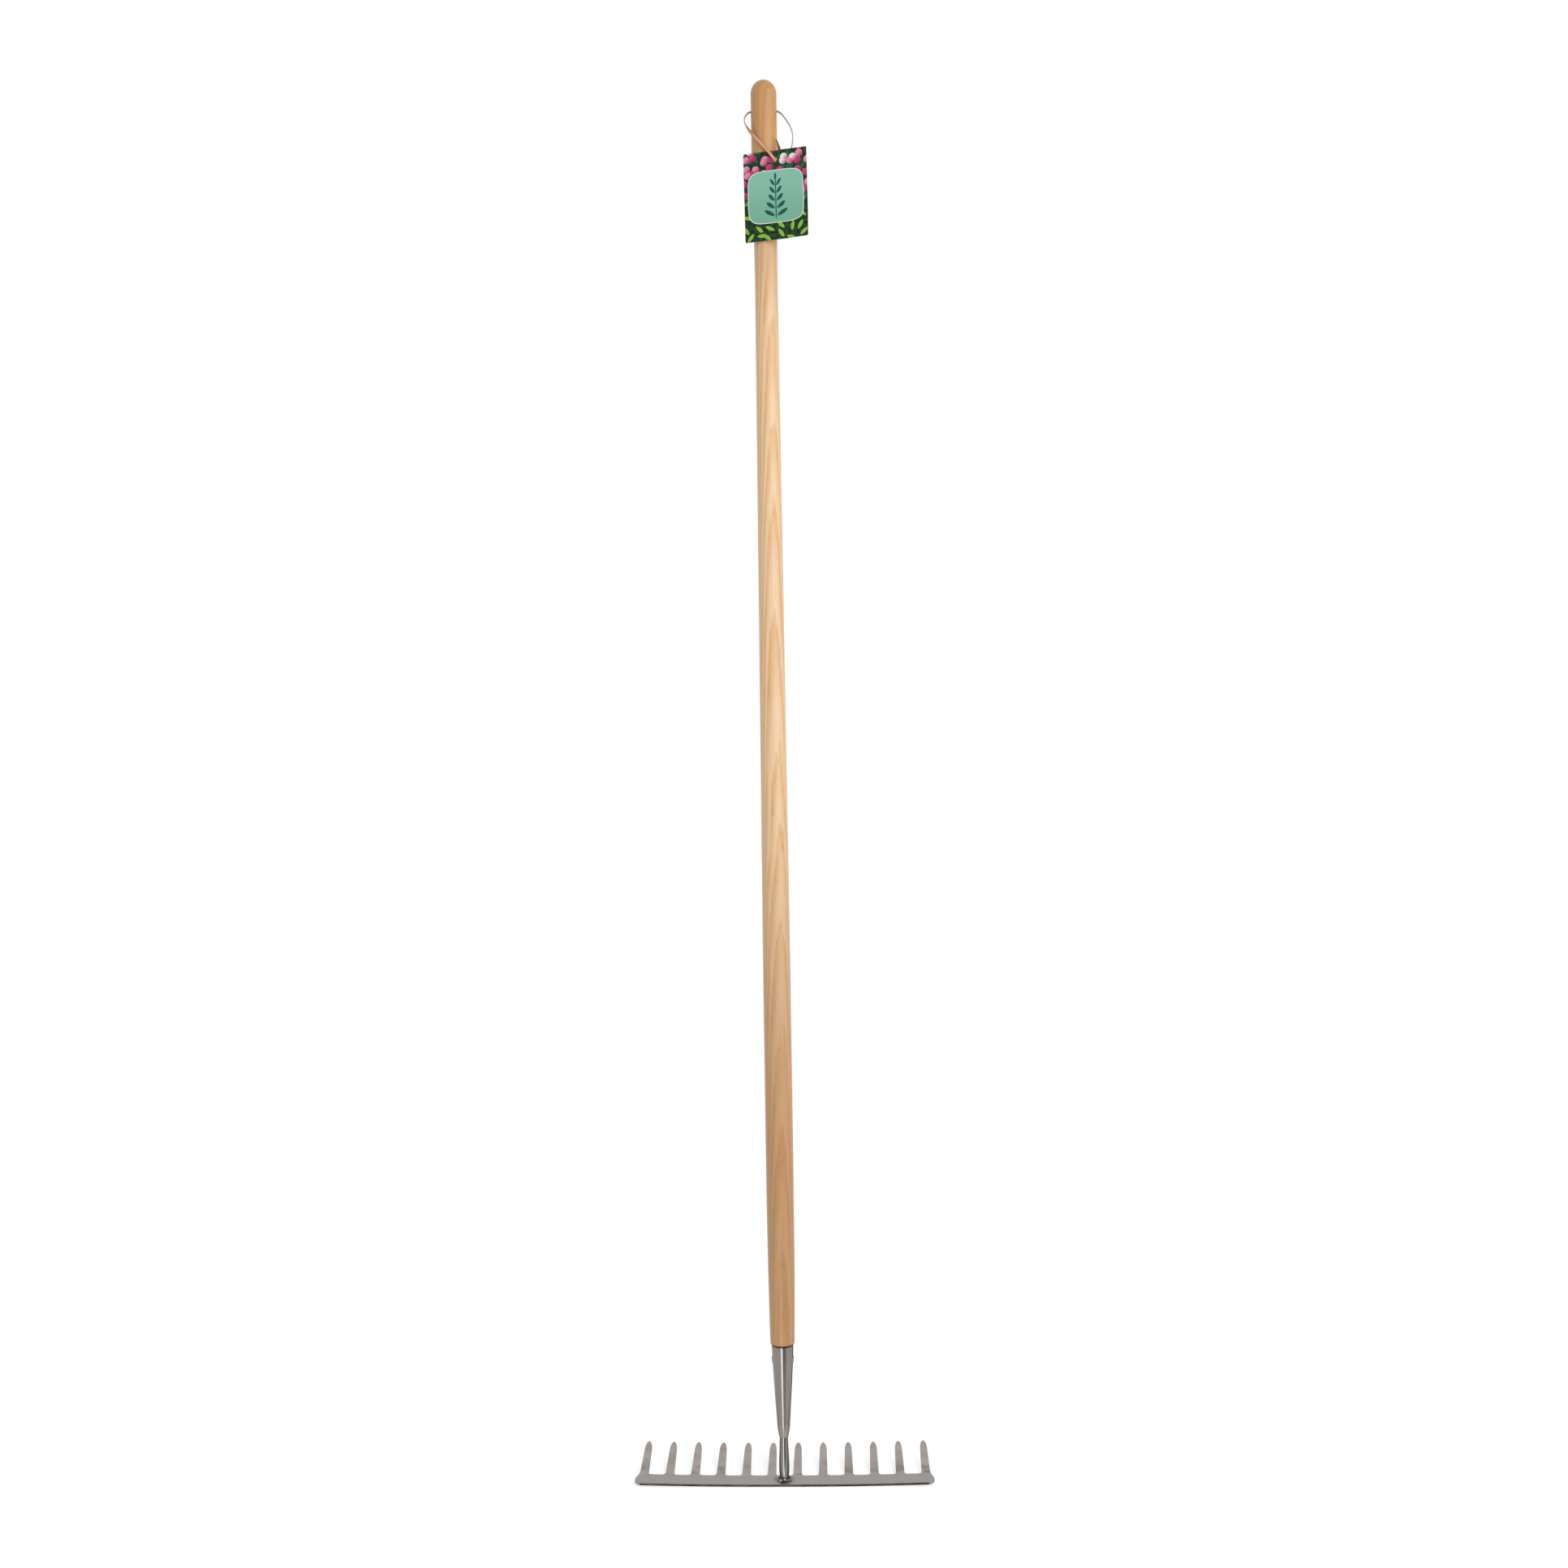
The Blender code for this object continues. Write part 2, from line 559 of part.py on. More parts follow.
def make_swing_tag(card, pivot):
    """Card with rounded corners and a punched hole, hung from that hole."""
    half = TAG_WIDTH / 2 - TAG_CORNER_RADIUS
    top = TAG_HOLE_DROP - TAG_CORNER_RADIUS
    bottom = TAG_HOLE_DROP - TAG_HEIGHT + TAG_CORNER_RADIUS
    corners = ((half, bottom), (half, top), (-half, top), (-half, bottom))
    outline = []
    for i, corner in enumerate(corners):
        start = math.pi / 2 * (i - 1)
        outline += arc(corner, TAG_CORNER_RADIUS, start, start + math.pi / 2, SMALL_STEPS)
    bm = bmesh.new()
    face = bm.faces.new([bm.verts.new((x, TAG_THICKNESS / 2, z)) for x, z in outline])
    sheet = bmesh.ops.extrude_face_region(bm, geom=[face])["geom"]
    front = [item for item in sheet if isinstance(item, bmesh.types.BMVert)]
    bmesh.ops.translate(bm, verts=front, vec=(0, -TAG_THICKNESS, 0))
    tag = add_object("swing_tag", finish_mesh(bm, "swing_tag"), card, pivot)

    bm = bmesh.new()
    radius = TAG_HOLE_DIAMETER / 2
    bmesh.ops.create_cone(
        bm, cap_ends=True, segments=HOLE_SEGMENTS, radius1=radius, radius2=radius, depth=10 * TAG_THICKNESS,
    )
    punch = add_object("tag_hole", finish_mesh(bm, "tag_hole"), parent=pivot)
    punch.rotation_euler = (math.pi / 2, 0, 0)
    subtract(tag, punch)


def build_rake():
    """Makes every piece in its place."""
    clear_scene()
    satin_steel = make_material("satin_stainless", (0.36, 0.34, 0.33), 0.38, 1.0)
    polished_steel = make_material("polished_stainless", (0.42, 0.40, 0.38), 0.22, 1.0)
    bead_steel = make_material("weld_bead", (0.22, 0.18, 0.14), 0.5, 1.0)
    ash = make_material("turned_ash", (0.58, 0.35, 0.15), 0.45)
    leather = make_material("tan_leather", (0.52, 0.24, 0.13), 0.6)
    card = make_material("printed_card", (0.20, 0.44, 0.36), 0.35)

    make_rake_head(satin_steel)
    make_tang(polished_steel)
    make_head_weld(bead_steel)
    make_socket(polished_steel)
    make_socket_rivet(polished_steel)
    make_handle_shaft(ash)
    lace_pivot = add_pivot("lace_pivot", (0, 0, LACE_HEIGHT))
    make_lace(leather, lace_pivot)
    tag_pivot = add_pivot("tag_pivot", tag_place(), lace_pivot)
    tag_pivot.rotation_euler = (0, -TAG_ROLL, -TAG_YAW)
    make_swing_tag(card, tag_pivot)


build_rake()
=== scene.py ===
import json
import math

import bmesh
import bpy
from mathutils import Euler, Matrix, Vector


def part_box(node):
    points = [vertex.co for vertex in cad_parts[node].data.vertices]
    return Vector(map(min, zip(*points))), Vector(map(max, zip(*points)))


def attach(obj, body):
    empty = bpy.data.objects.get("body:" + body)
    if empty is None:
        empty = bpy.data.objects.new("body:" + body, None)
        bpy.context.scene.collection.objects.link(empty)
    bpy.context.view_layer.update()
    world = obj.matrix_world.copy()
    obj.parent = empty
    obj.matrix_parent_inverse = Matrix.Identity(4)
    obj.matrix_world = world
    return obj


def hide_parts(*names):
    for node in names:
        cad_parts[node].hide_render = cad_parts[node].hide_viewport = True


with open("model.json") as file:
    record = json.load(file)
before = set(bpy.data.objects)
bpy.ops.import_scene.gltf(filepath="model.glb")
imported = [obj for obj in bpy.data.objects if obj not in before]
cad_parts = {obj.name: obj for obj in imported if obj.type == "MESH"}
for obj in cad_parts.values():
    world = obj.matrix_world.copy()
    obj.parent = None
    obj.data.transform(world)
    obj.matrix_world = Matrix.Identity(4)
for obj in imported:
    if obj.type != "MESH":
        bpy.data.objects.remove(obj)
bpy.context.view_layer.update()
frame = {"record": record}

# Comb head. One stamping of 3 mm stainless sheet, a bar with twelve blunt teeth, tumbled until its cut
# edges are smooth. The teeth are bent up behind the bar, and the bar is bowed so that its ends stand higher.
plate_thickness = 0.003
edge_ease = 0.0007
bar_front = 0.014
bar_back = 0.011
bar_corner = 0.009
bar_overhang = 0.0037
bar_flare = 0.0056
head_bow = 0.0022
tooth_count = 12
tooth_pitch = 0.0307
tooth_length = 0.063
tooth_root_width = 0.0106
tooth_end_width = 0.0088
tooth_tip = 0.015
tooth_lean = math.radians(14.0)
tooth_bend_radius = 0.025
gullet_radius = 0.004
outer_tooth = tooth_pitch * (tooth_count - 1) / 2
bend_line = bar_back + gullet_radius
snug = 0.98
tip_steps = 24
corner_steps = 8
ease_steps = 3
bow_step = 0.005
tooth_step = 0.004
merge_reach = 1e-6
round_angle = math.radians(40.0)
steel_dark = (0.325, 0.292, 0.272)
steel_light = (0.390, 0.358, 0.338)
bar_steel = (0.322, 0.302, 0.292)
bar_end = (0.008, 0.013)
stain_brown = (0.19, 0.135, 0.105)
stain_start = (0.009, 0.014)
stain_end = (0.020, 0.036)
heat_brown = (0.15, 0.115, 0.085)
heat_reach = (0.013, 0.022)
heat_wander = 0.012
edge_shade_black = (0.026, 0.023, 0.022)
edge_shade_grey = (0.070, 0.062, 0.060)
satin_roughness = (0.36, 0.50)
brushing_depth = 0.00002


def spaced(low, high, count):
    """Evenly spaced values, both ends included."""
    return [low + (high - low) * i / count for i in range(count + 1)]


def head_corners():
    """The comb's outline before its corners are rounded, with the reach of each corner's round."""
    tip_start = bar_back + tooth_length - tooth_tip
    end = outer_tooth + tooth_root_width / 2
    flare_low = bar_corner - bar_front + bar_flare
    flare_high = flare_low + math.sqrt((2 * bar_flare) ** 2 - bar_overhang**2)
    corners = [(end + bar_overhang, -bar_front, bar_corner * snug)]
    corners.append((end + bar_overhang, flare_low, bar_flare * snug))
    corners.append((end, flare_high, bar_flare * snug))
    for i in range(tooth_count):
        middle = outer_tooth - i * tooth_pitch
        if i > 0:
            corners.append((middle + tooth_root_width / 2, bar_back, gullet_radius))
        for turn in spaced(0.0, math.pi, tip_steps):
            across = tooth_end_width / 2 * math.cos(turn)
            corners.append((middle + across, tip_start + tooth_tip * math.sin(turn), 0.0))
        if i < tooth_count - 1:
            corners.append((middle - tooth_root_width / 2, bar_back, gullet_radius))
    return corners + [(-x, y, reach) for x, y, reach in reversed(corners[:3])]


def bent_up(place):
    """Rolls what lies behind the bend line upwards and lifts the bar's ends."""
    along = place.y - bar_back - gullet_radius
    x, y, z = place
    if along > 0:
        turn = min(along / tooth_bend_radius, tooth_lean)
        straight = along - turn * tooth_bend_radius
        radius = tooth_bend_radius + plate_thickness / 2 - z
        y = bend_line + radius * math.sin(turn) + straight * math.cos(turn)
        z = plate_thickness / 2 + tooth_bend_radius - radius * math.cos(turn) + straight * math.sin(turn)
    flat = tooth_pitch / 2
    return Vector((x, y, z + head_bow * (max(abs(x) - flat, 0.0) / (outer_tooth - flat)) ** 2))


def lift(bm, extruded, offset):
    """Moves the points that an extrusion has made."""
    moved = [item for item in extruded["geom"] if isinstance(item, bmesh.types.BMVert)]
    bmesh.ops.translate(bm, verts=moved, vec=offset)


def whole(bm):
    """All of a mesh."""
    return bm.verts[:] + bm.edges[:] + bm.faces[:]


def outward(bm):
    """Turns a mesh's faces outwards."""
    bmesh.ops.recalc_face_normals(bm, faces=bm.faces)
    if bm.calc_volume(signed=True) < 0:
        bmesh.ops.reverse_faces(bm, faces=bm.faces)


def cut_across(bm, cuts):
    """Adds edges where planes, each a place and a direction, go through a mesh."""
    for place, across in cuts:
        bmesh.ops.bisect_plane(bm, geom=whole(bm), dist=merge_reach, plane_co=place, plane_no=across)


def smooth_rounds(mesh, smooth_angle=round_angle):
    """Shades the round stretches of a mesh smooth and keeps its corners sharp."""
    mesh.shade_smooth()
    mesh.set_sharp_from_angle(angle=smooth_angle)


def make_piece(name, bm, material, smooth_angle=round_angle):
    """Turns a bmesh into a shown object with its round stretches smooth."""
    mesh = bpy.data.meshes.new(name)
    bm.to_mesh(mesh)
    bm.free()
    smooth_rounds(mesh, smooth_angle)
    mesh.materials.append(material)
    piece = bpy.data.objects.new(name, mesh)
    bpy.context.scene.collection.objects.link(piece)
    return piece


def new_material(name, roughness, metallic=0.0):
    """A Principled material: the material, its nodes and its shader."""
    material = bpy.data.materials.new(name)
    material.use_nodes = True
    shader = material.node_tree.nodes["Principled BSDF"]
    shader.inputs["Roughness"].default_value = roughness
    shader.inputs["Metallic"].default_value = metallic
    return material, material.node_tree, shader


def feed(socket, value):
    """Links an output to a socket, or writes a plain value or colour into it."""
    if isinstance(value, bpy.types.NodeSocket):
        socket.id_data.links.new(value, socket)
    elif socket.type == "RGBA":
        socket.default_value = (*value, 1.0)
    else:
        socket.default_value = value


def coords(tree, scale=(1.0, 1.0, 1.0), shift=(0.0, 0.0, 0.0), turn=(0.0, 0.0, 0.0), source="Object"):
    """The surface's own coordinates, stretched, turned and shifted."""
    place = tree.nodes.new("ShaderNodeTexCoord")
    mapping = tree.nodes.new("ShaderNodeMapping")
    mapping.inputs["Scale"].default_value = scale
    mapping.inputs["Location"].default_value = shift
    mapping.inputs["Rotation"].default_value = turn
    feed(mapping.inputs["Vector"], place.outputs[source])
    return mapping.outputs["Vector"]


def axis_of(vector, axis):
    """One axis of a vector."""
    split = vector.id_data.nodes.new("ShaderNodeSeparateXYZ")
    feed(split.inputs["Vector"], vector)
    return split.outputs[axis]


def noise(tree, grain, shift=(0.0, 0.0, 0.0), detail=3.0, distortion=0.0, source="Object"):
    """Soft noise on the surface's own coordinates, so many grains to the metre on each axis."""
    grains = grain if isinstance(grain, tuple) else (grain,) * 3
    cloud = tree.nodes.new("ShaderNodeTexNoise")
    feed(cloud.inputs["Vector"], coords(tree, grains, shift, source=source))
    cloud.inputs["Scale"].default_value = 1.0
    cloud.inputs["Detail"].default_value = detail
    cloud.inputs["Distortion"].default_value = distortion
    return cloud.outputs["Fac"]


def fade(value, low, high, start=0.0, end=1.0):
    """Eases from start to end while a value goes from low to high."""
    step = value.id_data.nodes.new("ShaderNodeMapRange")
    step.interpolation_type = "SMOOTHSTEP"
    for socket, given in zip(step.inputs, (value, low, high, start, end)):
        feed(socket, given)
    return step.outputs["Result"]


def maths(operation, first, second=0.0):
    """One operation on two values."""
    node = first.id_data.nodes.new("ShaderNodeMath")
    node.operation = operation
    feed(node.inputs[0], first)
    feed(node.inputs[1], second)
    return node.outputs["Value"]


def times(first, second):
    """Two values or shares multiplied."""
    return maths("MULTIPLY", first, second)


def distance_to(vector):
    """How far a place is from the middle of its coordinates."""
    node = vector.id_data.nodes.new("ShaderNodeVectorMath")
    node.operation = "LENGTH"
    feed(node.inputs[0], vector)
    return node.outputs["Value"]


def blend(share, first, second):
    """Mixes two colours by a share of the second."""
    node = share.id_data.nodes.new("ShaderNodeMix")
    node.data_type = "RGBA"
    feed(node.inputs[0], share)
    feed(node.inputs[6], first)
    feed(node.inputs[7], second)
    return node.outputs[2]


def add_bump(shader, height, depth):
    """Relief of a depth in metres."""
    bump = height.id_data.nodes.new("ShaderNodeBump")
    bump.inputs["Distance"].default_value = depth
    feed(bump.inputs["Height"], height)
    feed(shader.inputs["Normal"], bump.outputs["Normal"])


def dress(shader, colour, roughness, height, depth):
    """Gives a surface its colour, its roughness and its relief."""
    feed(shader.inputs["Base Color"], colour)
    feed(shader.inputs["Roughness"], roughness)
    add_bump(shader, height, depth)


satin_steel, tree, shader = new_material("satin_stainless", 0.43, metallic=1.0)
shader.inputs["Anisotropic"].default_value = 0.3
clouds = noise(tree, (35.0, 60.0, 60.0), detail=5.0)
colour = blend(fade(clouds, 0.3, 0.7), steel_dark, steel_light)
behind = axis_of(coords(tree), "Y")
colour = blend(fade(behind, *bar_end, 1.0, 0.0), colour, bar_steel)
near_root = times(fade(behind, *stain_start), fade(behind, *stain_end, 1.0, 0.0))
patches = noise(tree, (34.0, 60.0, 60.0), shift=(26.0, 0.0, 0.0), detail=6.0, distortion=0.6)
stain = times(near_root, fade(patches, 0.50, 0.66, 0.0, 0.64))
colour = blend(stain, colour, stain_brown)
from_weld = maths("ADD", distance_to(coords(tree)), times(patches, heat_wander))
colour = blend(fade(from_weld, *heat_reach, 0.75, 0.0), colour, heat_brown)
# The edges that face front and back are painted near black with a mottled tone: painted shade and a painted
# dark reflection along them.
facing = coords(tree, source="Normal")
upright = maths("ABSOLUTE", axis_of(facing, "Z"))
sideways = maths("ABSOLUTE", axis_of(facing, "X"))
off_flat = fade(upright, 0.45, 0.92, 1.0, 0.0)
painted_edge_shade = times(off_flat, fade(sideways, 0.10, 0.45, 1.0, 0.0))
edge_shade_mottle = noise(tree, (60.0, 60.0, 500.0), shift=(0.0, 2.0, 0.0), detail=4.0)
edge_shade_tone = blend(fade(edge_shade_mottle, 0.35, 0.65), edge_shade_black, edge_shade_grey)
colour = blend(painted_edge_shade, colour, edge_shade_tone)
brushing = noise(tree, (90.0, 2200.0, 2200.0), detail=2.0)
dress(shader, colour, fade(brushing, 0.25, 0.75, *satin_roughness), brushing, brushing_depth)

bm = bmesh.new()
outline = [(bm.verts.new((x, y, 0.0)), reach) for x, y, reach in head_corners()]
bm.faces.new([vert for vert, reach in outline])
for reach in sorted({reach for vert, reach in outline if reach > 0}):
    alike = [vert for vert, own in outline if own == reach]
    bmesh.ops.bevel(
        bm, geom=alike, offset=reach, segments=corner_steps, profile=0.5, affect="VERTICES", material=-1,
    )
lift(bm, bmesh.ops.extrude_face_region(bm, geom=bm.faces[:]), (0, 0, plate_thickness))
outward(bm)
rims = [edge for edge in bm.edges if edge.verts[0].co.z == edge.verts[1].co.z]
bmesh.ops.bevel(
    bm, geom=rims, offset=edge_ease, segments=ease_steps, profile=0.5, affect="EDGES", material=-1,
)
bow_cuts = int(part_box("rake_head")[1].x / bow_step)
cuts = [((i * bow_step, 0, 0), (1, 0, 0)) for i in range(-bow_cuts, bow_cuts + 1)]
tooth_cuts = int((tooth_length - gullet_radius) / tooth_step)
cuts += [((0, bend_line + i * tooth_step / 2, 0), (0, 1, 0)) for i in range(2 * tooth_cuts)]
cut_across(bm, cuts)
for vert in bm.verts:
    vert.co = bent_up(vert.co)
comb_head = make_piece("comb_head", bm, satin_steel)
comb_head.modifiers.new("even_flats", "WEIGHTED_NORMAL")
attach(comb_head, "rake")
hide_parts("rake_head")

# Tang. Round stainless bar that stands on the middle of the comb and runs up into the socket's neck, turned
# slim at the top and fuller low down. It is polished, with heat colours left near the weld.
tang_low, tang_high = (corner.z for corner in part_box("tang"))
tang_exposed = 0.052
tang_foot = 0.0053
tang_belly = 0.00605
tang_belly_height = 0.013
tang_neck = 0.0050
tang_ease = 0.0008
tang_rows = 48
tang_steps = 72
tang_dark = (0.232, 0.218, 0.207)
tang_light = (0.276, 0.260, 0.247)
tang_glance = (0.12, 0.12, 0.12, 1.0)
straw_tint = (0.30, 0.25, 0.17)
straw_reach = (0.011, 0.019)
scorch_brown = (0.11, 0.095, 0.075)
scorch_reach = (0.0090, 0.0125)
scorch_wander = 0.010
line_depth = 0.000001


def ease(share):
    """Smooth step from 0 to 1 with level ends."""
    share = min(max(share, 0.0), 1.0)
    return share * share * (3 - 2 * share)


def tang_radius(height):
    """Radius of the tang at a height."""
    above = height - plate_thickness
    if above < tang_belly_height:
        return tang_foot + (tang_belly - tang_foot) * ease(above / tang_belly_height)
    share = (above - tang_belly_height) / (tang_exposed - tang_belly_height)
    return tang_belly + (tang_neck - tang_belly) * ease(share)


def turned(profile, steps, closed=False):
    """Spins (radius, height) points round the shaft's axis; a closed profile makes a ring."""
    bm = bmesh.new()
    verts = [bm.verts.new((radius, 0.0, height)) for radius, height in profile]
    for first, second in zip(verts, verts[1:]):
        bm.edges.new((first, second))
    if closed:
        bm.edges.new((verts[-1], verts[0]))
    bmesh.ops.spin(
        bm, geom=bm.verts[:] + bm.edges[:], cent=(0, 0, 0), axis=(0, 0, 1), angle=2 * math.pi, steps=steps,
        use_merge=True,
    )
    bmesh.ops.remove_doubles(bm, verts=bm.verts, dist=merge_reach)
    outward(bm)
    return bm


def turned_steel(name, dark, light, roughness):
    """Polished stainless with fine turning lines round the shaft's axis."""
    material, tree, shader = new_material(name, roughness, metallic=1.0)
    shader.inputs["Anisotropic"].default_value = 0.85
    shader.inputs["Anisotropic Rotation"].default_value = 0.25
    around = tree.nodes.new("ShaderNodeTangent")
    around.direction_type = "RADIAL"
    around.axis = "Z"
    feed(shader.inputs["Tangent"], around.outputs["Tangent"])
    clouds = noise(tree, (90.0, 90.0, 25.0), detail=4.0)
    colour = blend(fade(clouds, 0.3, 0.7), dark, light)
    lines = noise(tree, (40.0, 40.0, 5000.0), detail=2.0)
    feed(shader.inputs["Roughness"], fade(lines, 0.2, 0.8, roughness * 0.85, roughness * 1.2))
    add_bump(shader, lines, line_depth)
    return material, tree, shader, colour


tang_steel, tree, shader, colour = turned_steel("polished_tang", tang_dark, tang_light, 0.15)
shader.inputs["Specular Tint"].default_value = tang_glance
height = axis_of(coords(tree), "Z")
scorch = maths("ADD", height, times(noise(tree, (160.0, 160.0, 60.0)), scorch_wander))
colour = blend(fade(scorch, *straw_reach, 0.6, 0.0), colour, straw_tint)
colour = blend(fade(scorch, *scorch_reach, 0.85, 0.0), colour, scorch_brown)
feed(shader.inputs["Base Color"], colour)

profile = [(0.0, tang_low), (tang_foot - tang_ease, tang_low)]
profile += [(tang_radius(z), z) for z in spaced(tang_low + tang_ease, tang_high - tang_ease, tang_rows)]
profile += [(tang_neck - tang_ease, tang_high), (0.0, tang_high)]
tang = make_piece("tang_bar", turned(profile, tang_steps), tang_steel)
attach(tang, "rake")
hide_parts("tang")

# Weld. A hand-laid fillet bead round the tang's foot, with the ripples of each dip of the rod and a few
# beads of spatter on the bar. It is left as welded, dark brown and black with small bright patches.
weld_leg = 0.0020
weld_height = 0.0028
weld_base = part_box("head_weld")[0].z
weld_gap = 0.0001
weld_inner = tang_radius(weld_base + weld_height) + weld_gap
weld_rows = 12
weld_steps = 150
weld_hollow = 1.3
ripple_count = 15
ripple_angle = math.radians(60.0)
weld_black = (0.030, 0.026, 0.024)
weld_brown = (0.115, 0.092, 0.068)
weld_bright = (0.56, 0.53, 0.50)
grit_depth = 0.00006
spatter_squash = 0.6
spatter = ((0.0094, 212, 0.00055), (0.0103, 326, 0.0007), (0.0118, 345, 0.00045), (0.0098, 250, 0.0004),
           (0.0116, 18, 0.0005), (0.0106, 168, 0.0006), (0.0096, 60, 0.0005))


def bead_swell(angle):
    """How far the bead swells or shrinks on its way round."""
    ripple = abs(math.sin(angle * ripple_count / 2)) ** 0.7
    return 0.86 + 0.14 * ripple + 0.10 * math.sin(2 * angle + 0.6) + 0.06 * math.sin(5 * angle + 1.9)


weld_steel, tree, shader = new_material("weld_bead", 0.36, metallic=1.0)
patches = noise(tree, 260.0, detail=4.0)
colour = blend(fade(patches, 0.42, 0.56), weld_black, weld_brown)
colour = blend(fade(patches, 0.56, 0.64), colour, weld_bright)
grit = noise(tree, 1500.0)
dress(shader, colour, fade(grit, 0.3, 0.7, 0.22, 0.5), grit, grit_depth)

profile = [(weld_inner, weld_base)]
for turn in spaced(0.0, math.pi / 2, weld_rows):
    out = weld_leg * math.cos(turn) ** weld_hollow
    profile.append((weld_inner + out, weld_base + weld_height * math.sin(turn) ** weld_hollow))
bm = turned(profile, weld_steps, closed=True)
for vert in bm.verts:
    out = vert.co.xy.length - weld_inner
    swell = bead_swell(math.atan2(vert.co.y, vert.co.x))
    vert.co.xy = vert.co.xy.normalized() * (weld_inner + out * swell)
    vert.co.z = weld_base + (vert.co.z - weld_base) * swell
squash = Matrix.Diagonal((1, 1, spatter_squash, 1))
for distance, degrees, size in spatter:
    turn = math.radians(degrees)
    spot = Matrix.Translation((distance * math.cos(turn), distance * math.sin(turn), weld_base))
    bmesh.ops.create_icosphere(bm, subdivisions=2, radius=size, matrix=spot @ squash)
weld = make_piece("weld_bead", bm, weld_steel, ripple_angle)
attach(weld, "rake")
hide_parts("head_weld")

# Socket. Stainless tube drawn to a long taper and swaged in at its neck, where a thin lip grips the tang. It
# is polished on a lathe, left duller at the neck, and open at the top, where the shaft's tail goes in.
lip_height, rim_height = (corner.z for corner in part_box("socket"))
rim_radius = 0.0131
socket_wall = 0.0015
neck_length = 0.012
neck_radius = 0.00765
lip_edge = 0.0008
lip_radius = tang_neck + lip_edge
lip_slope = 0.150
neck_slope = 0.062
rim_slope = 0.030
rim_round = 0.0004
tang_gap = 0.0003
neck_rows = 16
taper_rows = 40
socket_steps = 96
socket_dark = (0.245, 0.216, 0.197)
socket_light = (0.278, 0.248, 0.228)
neck_painted_sheen = (0.40, 0.355, 0.325)
neck_reach = (0.001, 0.018)
neck_dullness = 0.4
rim_shadow = (0.045, 0.038, 0.033)
rim_reach = (0.0020, 0.0008)


def slope_curve(start, end, start_slope, end_slope, span, share):
    """Radius on a smooth curve between two radii with set end slopes."""
    rise = start_slope * (share**3 - 2 * share**2 + share) + end_slope * (share**3 - share**2)
    return start + (end - start) * ease(share) + rise * span


def socket_radius(height):
    """Outside radius of the socket at a height."""
    neck_height = lip_height + neck_length
    if height < neck_height:
        share = (height - lip_height) / neck_length
        return slope_curve(lip_radius, neck_radius, lip_slope, neck_slope, neck_length, share)
    span = rim_height - neck_height
    share = (height - neck_height) / span
    return slope_curve(neck_radius, rim_radius, neck_slope, rim_slope, span, share)


def socket_inside(height):
    """Inside radius of the socket at a height."""
    return max(socket_radius(height) - socket_wall, tang_neck + tang_gap)


socket_steel, tree, shader, colour = turned_steel("polished_socket", socket_dark, socket_light, 0.21)
height = axis_of(coords(tree), "Z")
# Towards the neck the colour is painted paler, a painted reflection, and the roughness rises.
at_neck = fade(height, *(lip_height + reach for reach in neck_reach), 1.0, 0.0)
colour = blend(times(at_neck, 0.8), colour, neck_painted_sheen)
at_rim = fade(height, *(rim_height - reach for reach in rim_reach), 0.0, 0.85)
colour = blend(at_rim, colour, rim_shadow)
feed(shader.inputs["Base Color"], colour)
polish = shader.inputs["Roughness"].links[0].from_socket
feed(shader.inputs["Roughness"], maths("ADD", polish, times(at_neck, neck_dullness)))

heights = spaced(lip_height, lip_height + neck_length, neck_rows)[:-1]
heights += spaced(lip_height + neck_length, rim_height - rim_round, taper_rows)
profile = [(socket_radius(z), z) for z in reversed(heights)]
profile += [(socket_inside(z), z) for z in heights]
profile += [(socket_radius(rim_height) - rim_round, rim_height)]
socket = make_piece("socket_tube", turned(profile, socket_steps, closed=True), socket_steel)
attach(socket, "rake")
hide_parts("socket")

# Rivet. One stainless pin through socket and shaft, left to right, with both ends hammered into low round
# heads that lie on the socket's curve.
rivet_height = sum(corner.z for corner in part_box("socket_rivet")) / 2
rivet_shank = 0.0025
rivet_head = 0.00475
rivet_dome = 0.0007
rivet_seat = 0.0001
rivet_rows = 10
rivet_steps = 40
rivet_dark = (0.30, 0.28, 0.26)
rivet_light = (0.42, 0.40, 0.38)
dent_depth = 0.00008

rivet_steel, tree, shader = new_material("rivet_steel", 0.3, metallic=1.0)
dents = noise(tree, 500.0, detail=2.0)
colour = blend(dents, rivet_dark, rivet_light)
dress(shader, colour, fade(dents, 0.3, 0.7, 0.24, 0.38), dents, dent_depth)

seat = socket_radius(rivet_height) + rivet_seat
half = [(rivet_shank, seat)]
for turn in spaced(0.0, math.pi / 2, rivet_rows)[:-1]:
    half.append((rivet_head * math.cos(turn), seat + rivet_dome * math.sin(turn)))
half.append((0.0, seat + rivet_dome))
bm = turned([(radius, -along) for radius, along in reversed(half)] + half, rivet_steps)
for vert in bm.verts:
    proud = abs(vert.co.z) - seat
    across = vert.co.y
    height = rivet_height - vert.co.x
    surface = math.sqrt((socket_radius(height) + rivet_seat) ** 2 - across**2)
    vert.co = (math.copysign(surface + proud, vert.co.z), across, height)
outward(bm)
rivet = make_piece("rivet", bm, rivet_steel)
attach(rivet, "rake")
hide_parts("socket_rivet")

